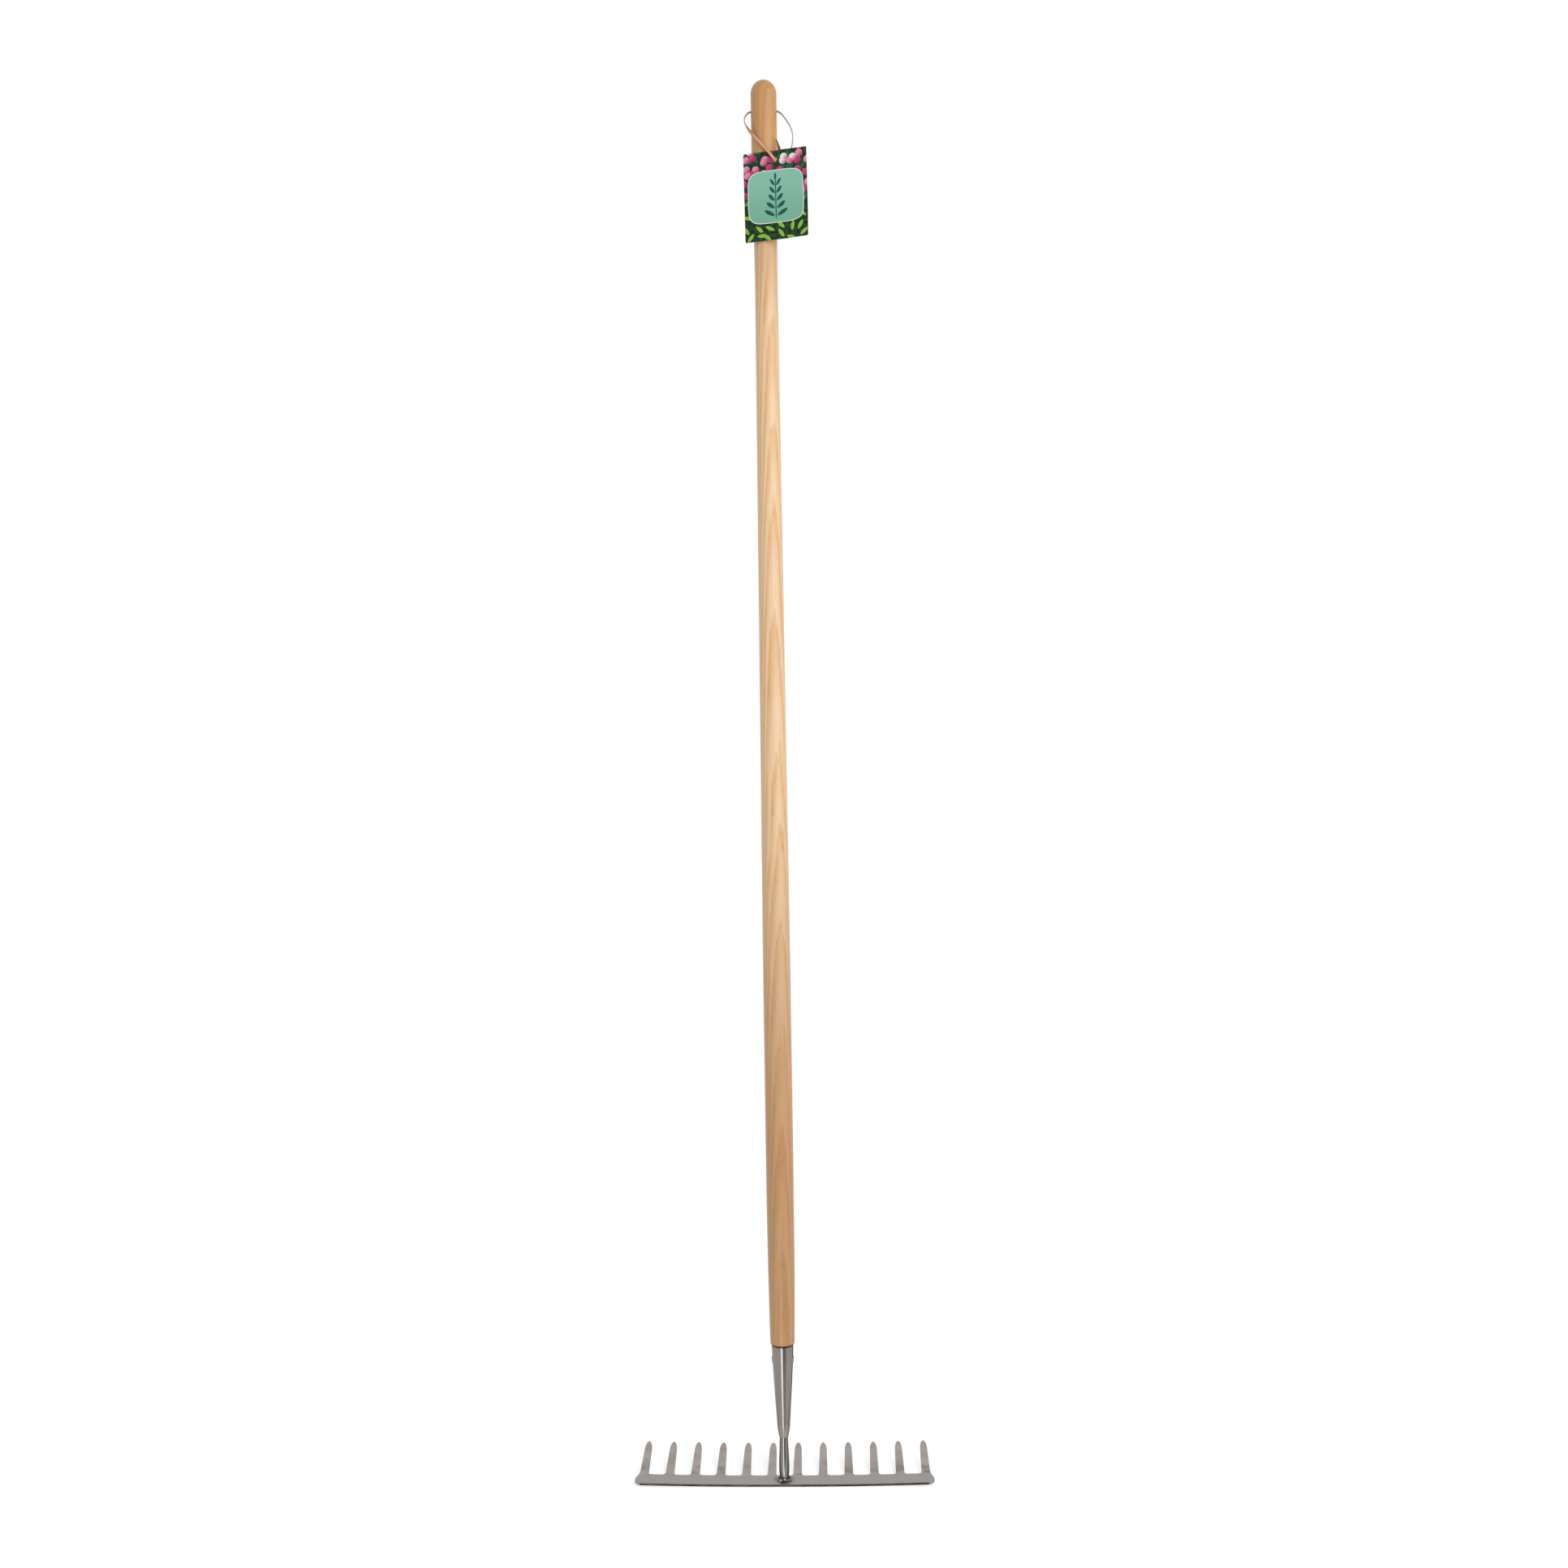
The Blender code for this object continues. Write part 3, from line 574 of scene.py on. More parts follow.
# Shaft. One length of ash, turned with a tapered tail inside the socket, a shoulder over its rim, a belly
# low down, a slim waist and a fuller domed grip, drilled across for the lace and varnished clear.
shaft_low, shaft_high = (corner.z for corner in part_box("handle_shaft"))
shaft_gap = 0.0003
shoulder_radius = 0.0144
shoulder_round = 0.0015
belly_radius = 0.01635
belly_low = 0.250
belly_high = 0.440
belly_ease = 2.5
waist_radius = 0.01355
waist_drop = 0.242
grip_radius = 0.01545
grip_length = 0.060
dome_height = 0.0165
lace_hole_drop = 0.03645
lace_hole_radius = 0.00225
lace_hole_ease = 0.0006
hole_steps = 40
shaft_tail_rows = 12
shoulder_rows = 8
shaft_rows = 120
dome_rows = 24
shaft_steps = 96
late_foot_shaded = (0.594, 0.331, 0.158)
late_middle_lit = (0.880, 0.622, 0.375)
late_grip_shaded = (0.592, 0.311, 0.116)
early_foot_shaded = (0.498, 0.257, 0.109)
early_middle_lit = (0.740, 0.422, 0.175)
early_grip_shaded = (0.494, 0.238, 0.078)
painted_light_rise = (0.34, 0.90)
painted_light_fall = (1.30, 1.62)
grip_start = (1.40, 1.58)
pore_brown = (0.27, 0.115, 0.038)
joint_shadow = (0.075, 0.035, 0.016)
joint_reach = (0.0004, 0.0022)
pith_place = (0.006, -0.075, 0.0)
pith_lean = (math.radians(-1.6), math.radians(0.25), 0.0)
rings_per_metre = 95.0
fibre_depth = 0.00006


def shaft_radius(height):
    """Radius of the shaft between its shoulder and its dome."""
    above = height - rim_height
    waist = shaft_high - rim_height - waist_drop
    grip = shaft_high - rim_height - grip_length
    if above < belly_low:
        return belly_radius - (belly_radius - shoulder_radius) * (1 - above / belly_low) ** belly_ease
    if above < waist:
        share = max((above - belly_high) / (waist - belly_high), 0.0)
        return belly_radius + (waist_radius - belly_radius) * share
    return waist_radius + (grip_radius - waist_radius) * ease((above - waist) / (grip - waist))


def shaken(place, grain, amount):
    """A place pushed about by noise of a given grain."""
    cloud = noise(place.id_data, grain).node
    push = place.id_data.nodes.new("ShaderNodeVectorMath")
    push.operation = "MULTIPLY_ADD"
    feed(push.inputs[0], cloud.outputs["Color"])
    push.inputs[1].default_value = amount
    feed(push.inputs[2], place)
    return push.outputs["Vector"]


def drilled(name, bm, material, cutter_bm):
    """A piece with a cutter's shape taken out of it."""
    piece = make_piece(name, bm, material)
    cutter = make_piece(name + "_drill", cutter_bm, material)
    bore = piece.modifiers.new("bore", "BOOLEAN")
    bore.operation = "DIFFERENCE"
    bore.solver = "EXACT"
    bore.object = cutter
    evaluated = piece.evaluated_get(bpy.context.evaluated_depsgraph_get())
    drilled_mesh = bpy.data.meshes.new_from_object(evaluated)
    clean_bm = bmesh.new()
    clean_bm.from_mesh(drilled_mesh)
    bmesh.ops.dissolve_degenerate(clean_bm, dist=merge_reach, edges=clean_bm.edges)
    clean_bm.to_mesh(drilled_mesh)
    clean_bm.free()
    smooth_rounds(drilled_mesh)
    piece.modifiers.clear()
    piece.data = drilled_mesh
    bpy.data.objects.remove(cutter, do_unlink=True)
    return piece


ash, tree, shader = new_material("turned_ash", 0.42)
shader.inputs["Specular IOR Level"].default_value = 0.2
shader.inputs["Coat Weight"].default_value = 0.4
shader.inputs["Coat Roughness"].default_value = 0.22
height = axis_of(coords(tree), "Z")
# The wood is painted paler in the middle of the shaft and darker towards its foot and its grip: a painted
# pool of light along the shaft.
painted_light_middle = times(fade(height, *painted_light_rise), fade(height, *painted_light_fall, 1.0, 0.0))
at_grip = fade(height, *grip_start)
late_wood_and_light = blend(painted_light_middle, blend(at_grip, late_foot_shaded, late_grip_shaded), late_middle_lit)
early_wood_and_light = blend(painted_light_middle, blend(at_grip, early_foot_shaded, early_grip_shaded), early_middle_lit)
pith = coords(tree, shift=pith_place, turn=pith_lean)
pith = shaken(pith, (30.0, 30.0, 4.0), (0.007, 0.007, 0.0))
pith = shaken(pith, (420.0, 420.0, 11.0), (0.0014, 0.0014, 0.0))
rings = tree.nodes.new("ShaderNodeTexWave")
rings.wave_type = "RINGS"
rings.rings_direction = "Z"
rings.wave_profile = "SAW"
feed(rings.inputs["Vector"], pith)
rings.inputs["Scale"].default_value = rings_per_metre
rings.inputs["Distortion"].default_value = 0.0
through_ring = rings.outputs["Fac"]
ring_share = fade(through_ring, 0.12, 0.90, 1.0, 0.0)
ring_share = times(ring_share, fade(through_ring, 0.0, 0.12))
patchy = noise(tree, (60.0, 60.0, 9.0), shift=(3.0, 1.0, 0.0))
early_share = times(ring_share, fade(patchy, 0.3, 0.7, 0.5, 1.0))
colour = blend(early_share, late_wood_and_light, early_wood_and_light)
fibres = noise(tree, (1400.0, 1400.0, 22.0))
colour = blend(fade(fibres, 0.50, 0.72, 0.0, 0.35), colour, early_wood_and_light)
silk = noise(tree, (420.0, 420.0, 10.0), shift=(0.0, 7.0, 0.0), detail=4.0)
colour = blend(fade(silk, 0.52, 0.75, 0.0, 0.40), colour, late_wood_and_light)
pores = noise(tree, (1900.0, 1900.0, 75.0), shift=(5.0, 0.0, 3.0), detail=2.0)
pore_share = fade(pores, 0.60, 0.70, 0.0, 0.55)
pore_share = times(pore_share, fade(early_share, 0.1, 0.8, 0.25, 1.0))
colour = blend(pore_share, colour, pore_brown)
joint_height = rim_height + shaft_gap
at_joint = fade(height, *(joint_height + reach for reach in joint_reach), 0.85, 0.0)
colour = blend(at_joint, colour, joint_shadow)
dress(shader, colour, fade(fibres, 0.3, 0.7, 0.36, 0.5), fibres, fibre_depth)

profile = [(0.0, shaft_low)]
profile += [(socket_inside(z) - shaft_gap, z) for z in spaced(shaft_low, rim_height, shaft_tail_rows)]
profile += [(profile[-1][0], joint_height)]
for turn in spaced(-math.pi / 2, 0.0, shoulder_rows):
    out = shoulder_radius - shoulder_round + shoulder_round * math.cos(turn)
    profile.append((out, joint_height + shoulder_round + shoulder_round * math.sin(turn)))
dome_base = shaft_high - dome_height
profile += [(shaft_radius(z), z) for z in spaced(profile[-1][1], dome_base, shaft_rows)[1:-1]]
for turn in spaced(0.0, math.pi / 2, dome_rows)[:-1]:
    profile.append((grip_radius * math.cos(turn), dome_base + dome_height * math.sin(turn)))
profile.append((0.0, shaft_high))
half = [(0.0, 2 * grip_radius), (2 * lace_hole_radius, 2 * grip_radius)]
half += [(2 * lace_hole_radius, grip_radius + lace_hole_radius)]
half += [(lace_hole_radius + lace_hole_ease, grip_radius), (lace_hole_radius, grip_radius - lace_hole_ease)]
drill = turned(half + [(radius, -along) for radius, along in reversed(half)], hole_steps)
across = Matrix.Translation((0, 0, shaft_high - lace_hole_drop)) @ Matrix.Rotation(math.pi / 2, 4, "Y")
bmesh.ops.transform(drill, matrix=across, verts=drill.verts)
shaft = drilled("ash_shaft", turned(profile, shaft_steps), ash, drill)
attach(shaft, "rake")
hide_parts("handle_shaft")

# Lace. A flat thong of tan leather, greyer on its flesh side and raw edges, drawn through the holes in shaft
# and tag. It lies flat across the grip, stands on edge in both side loops and is squeezed inside the wood.
joints = {joint["name"]: joint for joint in frame["record"]["behaviour"]["joints"]}
hole_middle = Vector(joints["lace_swing"]["pos_m"])
lace_width = 0.0038
lace_thickness = 0.0012
lace_squeezed = (0.0028, 0.0019)
squeeze_margin = 0.0005
squeeze_ease = 0.005
squeeze_depth = 0.004
lace_step = 0.0007
lace_climb = Vector((-0.66, 0.15, 0.74))
lace_middle = 0.012
left_twist = (-0.034, 0.020)
right_twist = (0.0135, 0.006)
strap_sides = 16
edge_power = 0.45
face_power = 0.55
strap_angle = math.radians(50.0)
tan_dark = (0.63, 0.295, 0.155)
tan_light = (0.76, 0.395, 0.230)
tan_flesh = (0.50, 0.450, 0.43)
tan_raw_edge = (0.42, 0.385, 0.370)
# Where the thong crosses the front of the grip, its cut edges are painted dark red-brown: painted shade along
# the edges.
tan_front_edge_shade = (0.30, 0.115, 0.055)
front_reach = (-0.0165, -0.0125)
pore_depth = 0.00006
lace_route = (
    (0.0163, -0.0160, -0.0682), (0.0141, -0.0181, -0.0663), (0.0128, -0.0194, -0.0652),
    (0.0107, -0.0207, -0.0627), (0.0086, -0.0208, -0.0600), (0.0044, -0.0198, -0.0545),
    (-0.0021, -0.0183, -0.0463), (-0.0088, -0.0168, -0.0381), (-0.0148, -0.0154, -0.0310),
    (-0.0184, -0.0126, -0.0252), (-0.0212, -0.0090, -0.0195), (-0.0229, -0.0050, -0.0131),
    (-0.0228, -0.0022, -0.0079), (-0.0210, -0.0006, -0.0036), (-0.0178, 0.0, -0.0007),
    (-0.0140, 0.0, 0.0), (0.0, 0.0, 0.0), (0.0140, 0.0, 0.0),
    (0.0177, 0.0, -0.0006), (0.0208, -0.0008, -0.0034), (0.0243, -0.0020, -0.0081),
    (0.0279, -0.0030, -0.0136), (0.0313, -0.0047, -0.0204), (0.0334, -0.0062, -0.0269),
    (0.0343, -0.0084, -0.0341), (0.0337, -0.0106, -0.0422), (0.0318, -0.0125, -0.0511),
    (0.0275, -0.0145, -0.0605), (0.0210, -0.0149, -0.0659), (0.0182, -0.0150, -0.0684),
)


def smooth_line(route, step):
    """Close points on a smooth curve through a route's points."""
    knots = [Vector(point) for point in route]
    knots = [2 * knots[0] - knots[1]] + knots + [2 * knots[-1] - knots[-2]]
    line = [knots[1]]
    for before, start, end, after in zip(knots, knots[1:], knots[2:], knots[3:]):
        count = max(2, round((end - start).length / step))
        for u in spaced(0.0, 1.0, count)[1:]:
            bend = 2 * before - 5 * start + 4 * end - after
            twist = 3 * (start - end) + after - before
            line.append(start + (end - before) * u / 2 + bend * u**2 / 2 + twist * u**3 / 2)
    return line


def strap(line, sides, sizes, closed=False):
    """A thong along a line, its width along each side vector.

    Its points carry two marks: "edge" is 1 on the cut edges, "flesh" goes from -1 to 1 between the faces.
    """
    bm = bmesh.new()
    edge_mark = bm.verts.layers.float.new("edge")
    flesh_mark = bm.verts.layers.float.new("flesh")
    rings = []
    for i, place in enumerate(line):
        ahead = line[(i + 1) % len(line)] if closed or i + 1 < len(line) else place
        behind = line[i - 1] if closed or i > 0 else place
        along = (ahead - behind).normalized()
        across = (sides[i] - along * sides[i].dot(along)).normalized()
        through = along.cross(across)
        width, thickness = sizes[i]
        ring = []
        for k in range(strap_sides):
            turn = 2 * math.pi * k / strap_sides
            out = math.copysign(abs(math.cos(turn)) ** edge_power, math.cos(turn))
            up = math.copysign(abs(math.sin(turn)) ** face_power, math.sin(turn))
            vert = bm.verts.new(place + across * out * width / 2 + through * up * thickness / 2)
            vert[edge_mark] = abs(out)
            vert[flesh_mark] = up
            ring.append(vert)
        rings.append(ring)
    pairs = list(zip(rings, rings[1:])) + ([(rings[-1], rings[0])] if closed else [])
    for first, second in pairs:
        for k in range(strap_sides):
            after = (k + 1) % strap_sides
            bm.faces.new((first[k], first[after], second[after], second[k]))
    if not closed:
        bm.faces.new(rings[0])
        bm.faces.new(rings[-1])
    outward(bm)
    return bm


def lace_side(place):
    """Which way the thong's width lies: round the shaft in front, front to back in the loops and the hole."""
    on_front = lace_climb.cross(Vector((place.x, place.y, 0.0)).normalized())
    on_left = place.x < lace_middle
    start, span = left_twist if on_left else right_twist
    share = ease(((place.z if on_left else place.x) - start) / span)
    return on_front.lerp(Vector((0.0, -1.0, 0.0)), share)


def marked(tree, name):
    """A mark that a mesh carries on its points."""
    node = tree.nodes.new("ShaderNodeAttribute")
    node.attribute_name = name
    return node.outputs["Fac"]


def new_leather(name, dark, light, flesh_colour, raw_edge, front_edge_shade):
    """Thong leather, blotched and pored, with its own tones on its flesh side and its cut edges, the edges
    across the front painted darker as shade.
    """
    material, tree, shader = new_material(name, 0.55)
    shader.inputs["Specular IOR Level"].default_value = 0.3
    pores = noise(tree, 1800.0)
    blotches = noise(tree, 130.0, detail=4.0)
    at_front = fade(axis_of(coords(tree), "Y"), *front_reach, 1.0, 0.0)
    edge_and_front_shade = blend(at_front, raw_edge, front_edge_shade)
    colour = blend(fade(blotches, 0.3, 0.7), dark, light)
    colour = blend(fade(marked(tree, "flesh"), 0.2, 0.6), colour, flesh_colour)
    colour = blend(fade(pores, 0.55, 0.75, 0.0, 0.35), colour, edge_and_front_shade)
    colour = blend(fade(marked(tree, "edge"), 0.68, 0.90, 0.0, 0.95), colour, edge_and_front_shade)
    dress(shader, colour, fade(blotches, 0.3, 0.7, 0.45, 0.62), pores, pore_depth)
    return material


leather = new_leather("tan_leather", tan_dark, tan_light, tan_flesh, tan_raw_edge, tan_front_edge_shade)
lace_path = smooth_line(lace_route, lace_step)
sizes = []
for place in lace_path:
    in_wood = 1 - ease((abs(place.x) - grip_radius - squeeze_margin) / squeeze_ease)
    share = in_wood if abs(place.y) < squeeze_depth else 0.0
    width = lace_width + (lace_squeezed[0] - lace_width) * share
    sizes.append((width, lace_thickness + (lace_squeezed[1] - lace_thickness) * share))
bm = strap(lace_path, [lace_side(place) for place in lace_path], sizes)
bmesh.ops.translate(bm, verts=bm.verts, vec=hole_middle)
lace = make_piece("lace_thong", bm, leather, strap_angle)
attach(lace, "lace_loop")
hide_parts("lace")

# Knot. Both ends of the lace tied in one overhand knot, drawn tight behind the tag so that the card can't
# slip off.
knot_middle = sum(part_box("lace_knot"), Vector()) / 2
knot_radius = 0.0029
knot_depth = 1.6
knot_steps = 160
knot_strand = (0.0036, 0.0024)
knot_turn = Euler((math.radians(35.0), math.radians(-40.0), math.radians(20.0)))


def knot_point(turn):
    """A point on a knot of three crossings."""
    x = math.sin(turn) + 2 * math.sin(2 * turn)
    y = math.cos(turn) - 2 * math.cos(2 * turn)
    return Vector((x, y, -knot_depth * math.sin(3 * turn))) * knot_radius / 3


line = [knot_point(turn) for turn in spaced(0.0, 2 * math.pi, knot_steps)[:-1]]
sides = [(line[(i + 1) % len(line)] - line[i - 1]).cross(place) for i, place in enumerate(line)]
bm = strap(line, sides, [knot_strand] * len(line), closed=True)
tied = Matrix.Translation(knot_middle) @ knot_turn.to_matrix().to_4x4()
bmesh.ops.transform(bm, matrix=tied, verts=bm.verts)
knot = make_piece("knot", bm, leather, strap_angle)
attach(knot, "lace_loop")
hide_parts("lace_knot")

# Tails. The lace's two ends beyond the knot, cut off on a long slant and painted dark brown as shade, for the
# shadow they lie in. One stands up beside the shaft and shows above the tag, the other hangs behind the card.
upper_tail_route = (
    (0.0176, -0.0149, -0.0676), (0.0182, -0.0144, -0.0643), (0.0185, -0.0137, -0.0580),
    (0.0180, -0.0125, -0.0500), (0.0172, -0.0114, -0.0435), (0.0157, -0.0103, -0.0367),
)
lower_tail_route = (
    (0.0173, -0.0150, -0.0704), (0.0175, -0.0146, -0.0738), (0.0180, -0.0142, -0.0820),
    (0.0192, -0.0146, -0.0920), (0.0200, -0.0154, -0.1000),
)
upper_tail_side = Vector((0.94, -0.34, 0.0))
lower_tail_side = Vector((0.97, -0.22, 0.0))
tail_size = (lace_width, lace_thickness)
tail_slant = 2.5
# The tails' leather is painted dark as shade, for the shadow they lie in between tag and shaft.
tail_shade_dark = (0.185, 0.085, 0.045)
tail_shade_light = (0.270, 0.125, 0.065)
tail_shade_flesh = (0.20, 0.11, 0.07)
tail_shade_edge = (0.10, 0.055, 0.04)
tail_shade_leather = new_leather("painted_shade_leather", tail_shade_dark, tail_shade_light, tail_shade_flesh, tail_shade_edge, tail_shade_edge)


def make_tail(name, route, side, node):
    """One cut end of the lace."""
    line = smooth_line(route, lace_step)
    bm = strap(line, [side] * len(line), [tail_size] * len(line))
    tip = line[-1]
    onward = (tip - line[-4]).normalized()
    slant = onward + side.normalized() * tail_slant
    cut_middle = tip + hole_middle - onward * tail_slant * tail_size[0] / 2
    bmesh.ops.translate(bm, verts=bm.verts, vec=hole_middle)
    cut = bmesh.ops.bisect_plane(
        bm, geom=whole(bm), dist=merge_reach, plane_co=cut_middle, plane_no=slant, clear_outer=True,
    )
    rim = [item for item in cut["geom_cut"] if isinstance(item, bmesh.types.BMEdge)]
    bmesh.ops.contextual_create(bm, geom=rim)
    outward(bm)
    tail = make_piece(name, bm, tail_shade_leather, strap_angle)
    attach(tail, "lace_loop")
    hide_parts(node)
    return tail


upper_tail = make_tail("tail_upper", upper_tail_route, upper_tail_side, "lace_tail_upper")
lower_tail = make_tail("tail_lower", lower_tail_route, lower_tail_side, "lace_tail_lower")

# Swing tag. Matt card, printed on its front only, punched near its top edge and hung on the lace with
# its back against the grip. Its lower right corner has curled forward a little.
tag_hole = Vector(joints["tag_turn"]["pos_m"])
tag_facing = Vector(joints["tag_turn"]["axis"])
tag_width = 0.0768
tag_height = 0.105
tag_thickness = 0.0005
tag_corner = 0.0015
tag_corner_steps = 6
tag_hole_radius = 0.003
tag_hole_drop = 0.0111
tag_roll = math.radians(0.75)
tag_curl = 0.0022
tag_curl_reach = 0.030
tag_cut = 0.003
card_back = (0.72, 0.70, 0.66)
weave_depth = 0.00002
ground_dark = (0.008, 0.020, 0.013)
ground_green = (0.030, 0.085, 0.032)
leaf_spacing = 13.0
leaf_dark = (0.020, 0.110, 0.045)
leaf_lime = (0.245, 0.510, 0.050)
berry_spacing = 10.5
berry_red = (0.56, 0.055, 0.200)
berry_pink = (0.80, 0.270, 0.400)
berry_white = (0.86, 0.760, 0.760)
berry_shade = (0.22, 0.015, 0.070)
panel_height = 51.0
panel_half = (33.1, 30.4)
border_half = (33.9, 31.2)
border_cream = (0.80, 0.78, 0.70)
teal_low = (0.195, 0.450, 0.335)
teal_high = (0.245, 0.525, 0.405)
sprig_green = (0.016, 0.105, 0.070)
sprig_pitch = 9.0
sprig_lean = math.radians(-38.0)


def shape_mask(place, middle, half_size, power=2.0, soft=0.04):
    """1 inside an oval or, with a higher power, a rounded patch of the print."""
    total = None
    for axis, centre, half in zip("XY", middle, half_size):
        offset = maths("DIVIDE", maths("SUBTRACT", axis_of(place, axis), centre), half)
        term = maths("POWER", maths("ABSOLUTE", offset), power)
        total = term if total is None else maths("ADD", total, term)
    return fade(total, 1 - soft, 1 + soft, 1.0, 0.0)


def scattered(place, spacing, randomness):
    """Spots strewn over the print: each point's offset from its spot in spacings, and the spot's colour."""
    tree = place.id_data
    cells = tree.nodes.new("ShaderNodeTexVoronoi")
    cells.voronoi_dimensions = "2D"
    cells.inputs["Scale"].default_value = 1.0 / spacing
    cells.inputs["Randomness"].default_value = randomness
    feed(cells.inputs["Vector"], place)
    offset = tree.nodes.new("ShaderNodeVectorMath")
    offset.operation = "SUBTRACT"
    for socket, vector in zip(offset.inputs, (place, cells.outputs["Position"])):
        scaled = tree.nodes.new("ShaderNodeVectorMath")
        scaled.operation = "SCALE"
        feed(scaled.inputs[0], vector)
        scaled.inputs["Scale"].default_value = 1.0 / spacing
        feed(socket, scaled.outputs["Vector"])
    return offset.outputs["Vector"], cells.outputs["Color"]


def rotated(place, turn):
    """A place of the print turned about its middle."""
    node = place.id_data.nodes.new("ShaderNodeVectorRotate")
    node.rotation_type = "Z_AXIS"
    feed(node.inputs["Vector"], place)
    feed(node.inputs["Angle"], turn)
    return node.outputs["Vector"]


card, tree, shader = new_material("printed_card", 0.48)
shader.inputs["Specular IOR Level"].default_value = 0.1
print_place = coords(tree, (tag_width * 1000, tag_height * 1000, 1.0), source="UV")
across = axis_of(print_place, "X")
up = axis_of(print_place, "Y")
print_middle = tag_width * 1000 / 2
leafy = noise(tree, (22.0, 30.0, 1.0), detail=4.0, source="UV")
printed = blend(fade(leafy, 0.4, 0.7), ground_dark, ground_green)

offset, spot_colour = scattered(print_place, leaf_spacing, 0.6)
leaf_turn = times(axis_of(spot_colour, "X"), 2 * math.pi)
leaf = shape_mask(rotated(offset, leaf_turn), (0.0, 0.0), (0.46, 0.17), 1.6, 0.06)
leaf_green = blend(fade(up, 24.0, 60.0, 1.0, 0.0), leaf_dark, leaf_lime)
printed = blend(leaf, printed, leaf_green)
offset, spot_colour = scattered(print_place, berry_spacing, 0.8)
berry_kind = axis_of(spot_colour, "X")
berry = blend(fade(berry_kind, 0.34, 0.36), berry_red, berry_pink)
berry = blend(fade(berry_kind, 0.70, 0.72), berry, berry_white)
lit = maths("SUBTRACT", axis_of(offset, "Y"), axis_of(offset, "X"))
berry = blend(fade(lit, -0.45, 0.25, 0.65, 0.0), berry, berry_shade)
on_berry = fade(distance_to(offset), 0.40, 0.43, 1.0, 0.0)
printed = blend(times(on_berry, fade(up, 48.0, 58.0)), printed, berry)

panel_middle = (print_middle, panel_height)
in_border = shape_mask(print_place, panel_middle, border_half, 5.0, 0.02)
printed = blend(in_border, printed, border_cream)
in_panel = shape_mask(print_place, panel_middle, panel_half, 5.0, 0.02)
printed = blend(in_panel, printed, blend(fade(up, 25.0, 75.0), teal_low, teal_high))
beside = maths("ABSOLUTE", maths("SUBTRACT", across, print_middle))
stem = times(fade(beside, 0.5, 0.8, 1.0, 0.0), fade(up, 25.0, 25.4))
stem = times(stem, fade(up, 72.0, 72.4, 1.0, 0.0))
narrowing = times(beside, fade(up, 28.0, 76.0, 0.75, 1.7))
rung = maths("SUBTRACT", maths("MODULO", up, sprig_pitch), 5.0)
leaf_place = tree.nodes.new("ShaderNodeCombineXYZ")
feed(leaf_place.inputs["X"], maths("SUBTRACT", narrowing, 6.2))
feed(leaf_place.inputs["Y"], rung)
on_leaf = rotated(leaf_place.outputs["Vector"], sprig_lean)
leaf = shape_mask(on_leaf, (0.0, 0.0), (6.3, 2.1), 1.6, 0.06)
leaf = times(leaf, fade(up, 27.0, 27.2))
leaf = times(leaf, fade(up, 71.8, 72.0, 1.0, 0.0))
bud = shape_mask(print_place, (print_middle, 74.5), (1.5, 4.2), 1.6, 0.06)
sprig = maths("MAXIMUM", bud, maths("MAXIMUM", stem, leaf))
printed = blend(sprig, printed, sprig_green)
front = fade(axis_of(coords(tree, source="Normal"), "Y"), -0.6, -0.3, 1.0, 0.0)
colour = blend(front, card_back, printed)
weave = noise(tree, 700.0, detail=2.0)
dress(shader, colour, fade(weave, 0.3, 0.7, 0.42, 0.54), weave, weave_depth)

tag_low = tag_hole_drop - tag_height
tag_side = tag_width / 2
bm = bmesh.new()
corners = []
for x, z in ((-1, tag_low), (1, tag_low), (1, tag_hole_drop), (-1, tag_hole_drop)):
    corners.append(bm.verts.new((x * tag_side, 0.0, z)))
bm.faces.new(corners)
bmesh.ops.bevel(
    bm, geom=corners, offset=tag_corner, segments=tag_corner_steps, profile=0.5, affect="VERTICES",
    material=-1,
)
lift(bm, bmesh.ops.extrude_face_region(bm, geom=bm.faces[:]), (0, tag_thickness, 0))
bmesh.ops.translate(bm, verts=bm.verts, vec=(0, -tag_thickness / 2, 0))
outward(bm)
drill = bmesh.new()
bmesh.ops.create_cone(
    drill, cap_ends=True, segments=hole_steps, radius1=tag_hole_radius, radius2=tag_hole_radius,
    depth=10 * tag_thickness, matrix=Matrix.Rotation(math.pi / 2, 4, "X"),
)
tag = drilled("card_tag", bm, card, drill)
bm = bmesh.new()
bm.from_mesh(tag.data)
cuts = [((x, 0, 0), (1, 0, 0)) for x in spaced(-tag_side, tag_side, round(tag_width / tag_cut))[1:-1]]
cuts += [((0, 0, z), (0, 0, 1)) for z in spaced(tag_low, tag_hole_drop, round(tag_height / tag_cut))[1:-1]]
cut_across(bm, cuts)
print_map = bm.loops.layers.uv.new("print")
for face in bm.faces:
    for loop in face.loops:
        x, y, z = loop.vert.co
        loop[print_map].uv = (x / tag_width + 0.5, (z - tag_low) / tag_height)
for vert in bm.verts:
    x, y, z = vert.co
    right = ease(1 - (tag_side - x) / tag_curl_reach)
    down = ease(1 - (z - tag_low) / tag_curl_reach)
    vert.co.y -= tag_curl * right * down
hang = Matrix.Translation(tag_hole) @ Euler((0.0, -tag_roll, math.asin(tag_facing.x))).to_matrix().to_4x4()
bmesh.ops.transform(bm, matrix=hang, verts=bm.verts)
bm.to_mesh(tag.data)
bm.free()
smooth_rounds(tag.data)
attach(tag, "tag")
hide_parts("swing_tag")

# Floor. Plain white, so that the comb's soft shadow shows under it, and fading out into the white
# background further off.
floor_radius = 2.5
floor_steps = 96
floor_drop = 0.0005
floor_fade = (0.3, 1.3)
floor_lift = 0.48
floor_colour = (0.92, 0.92, 0.92, 1.0)
plain_white = (1.0, 1.0, 1.0, 1.0)

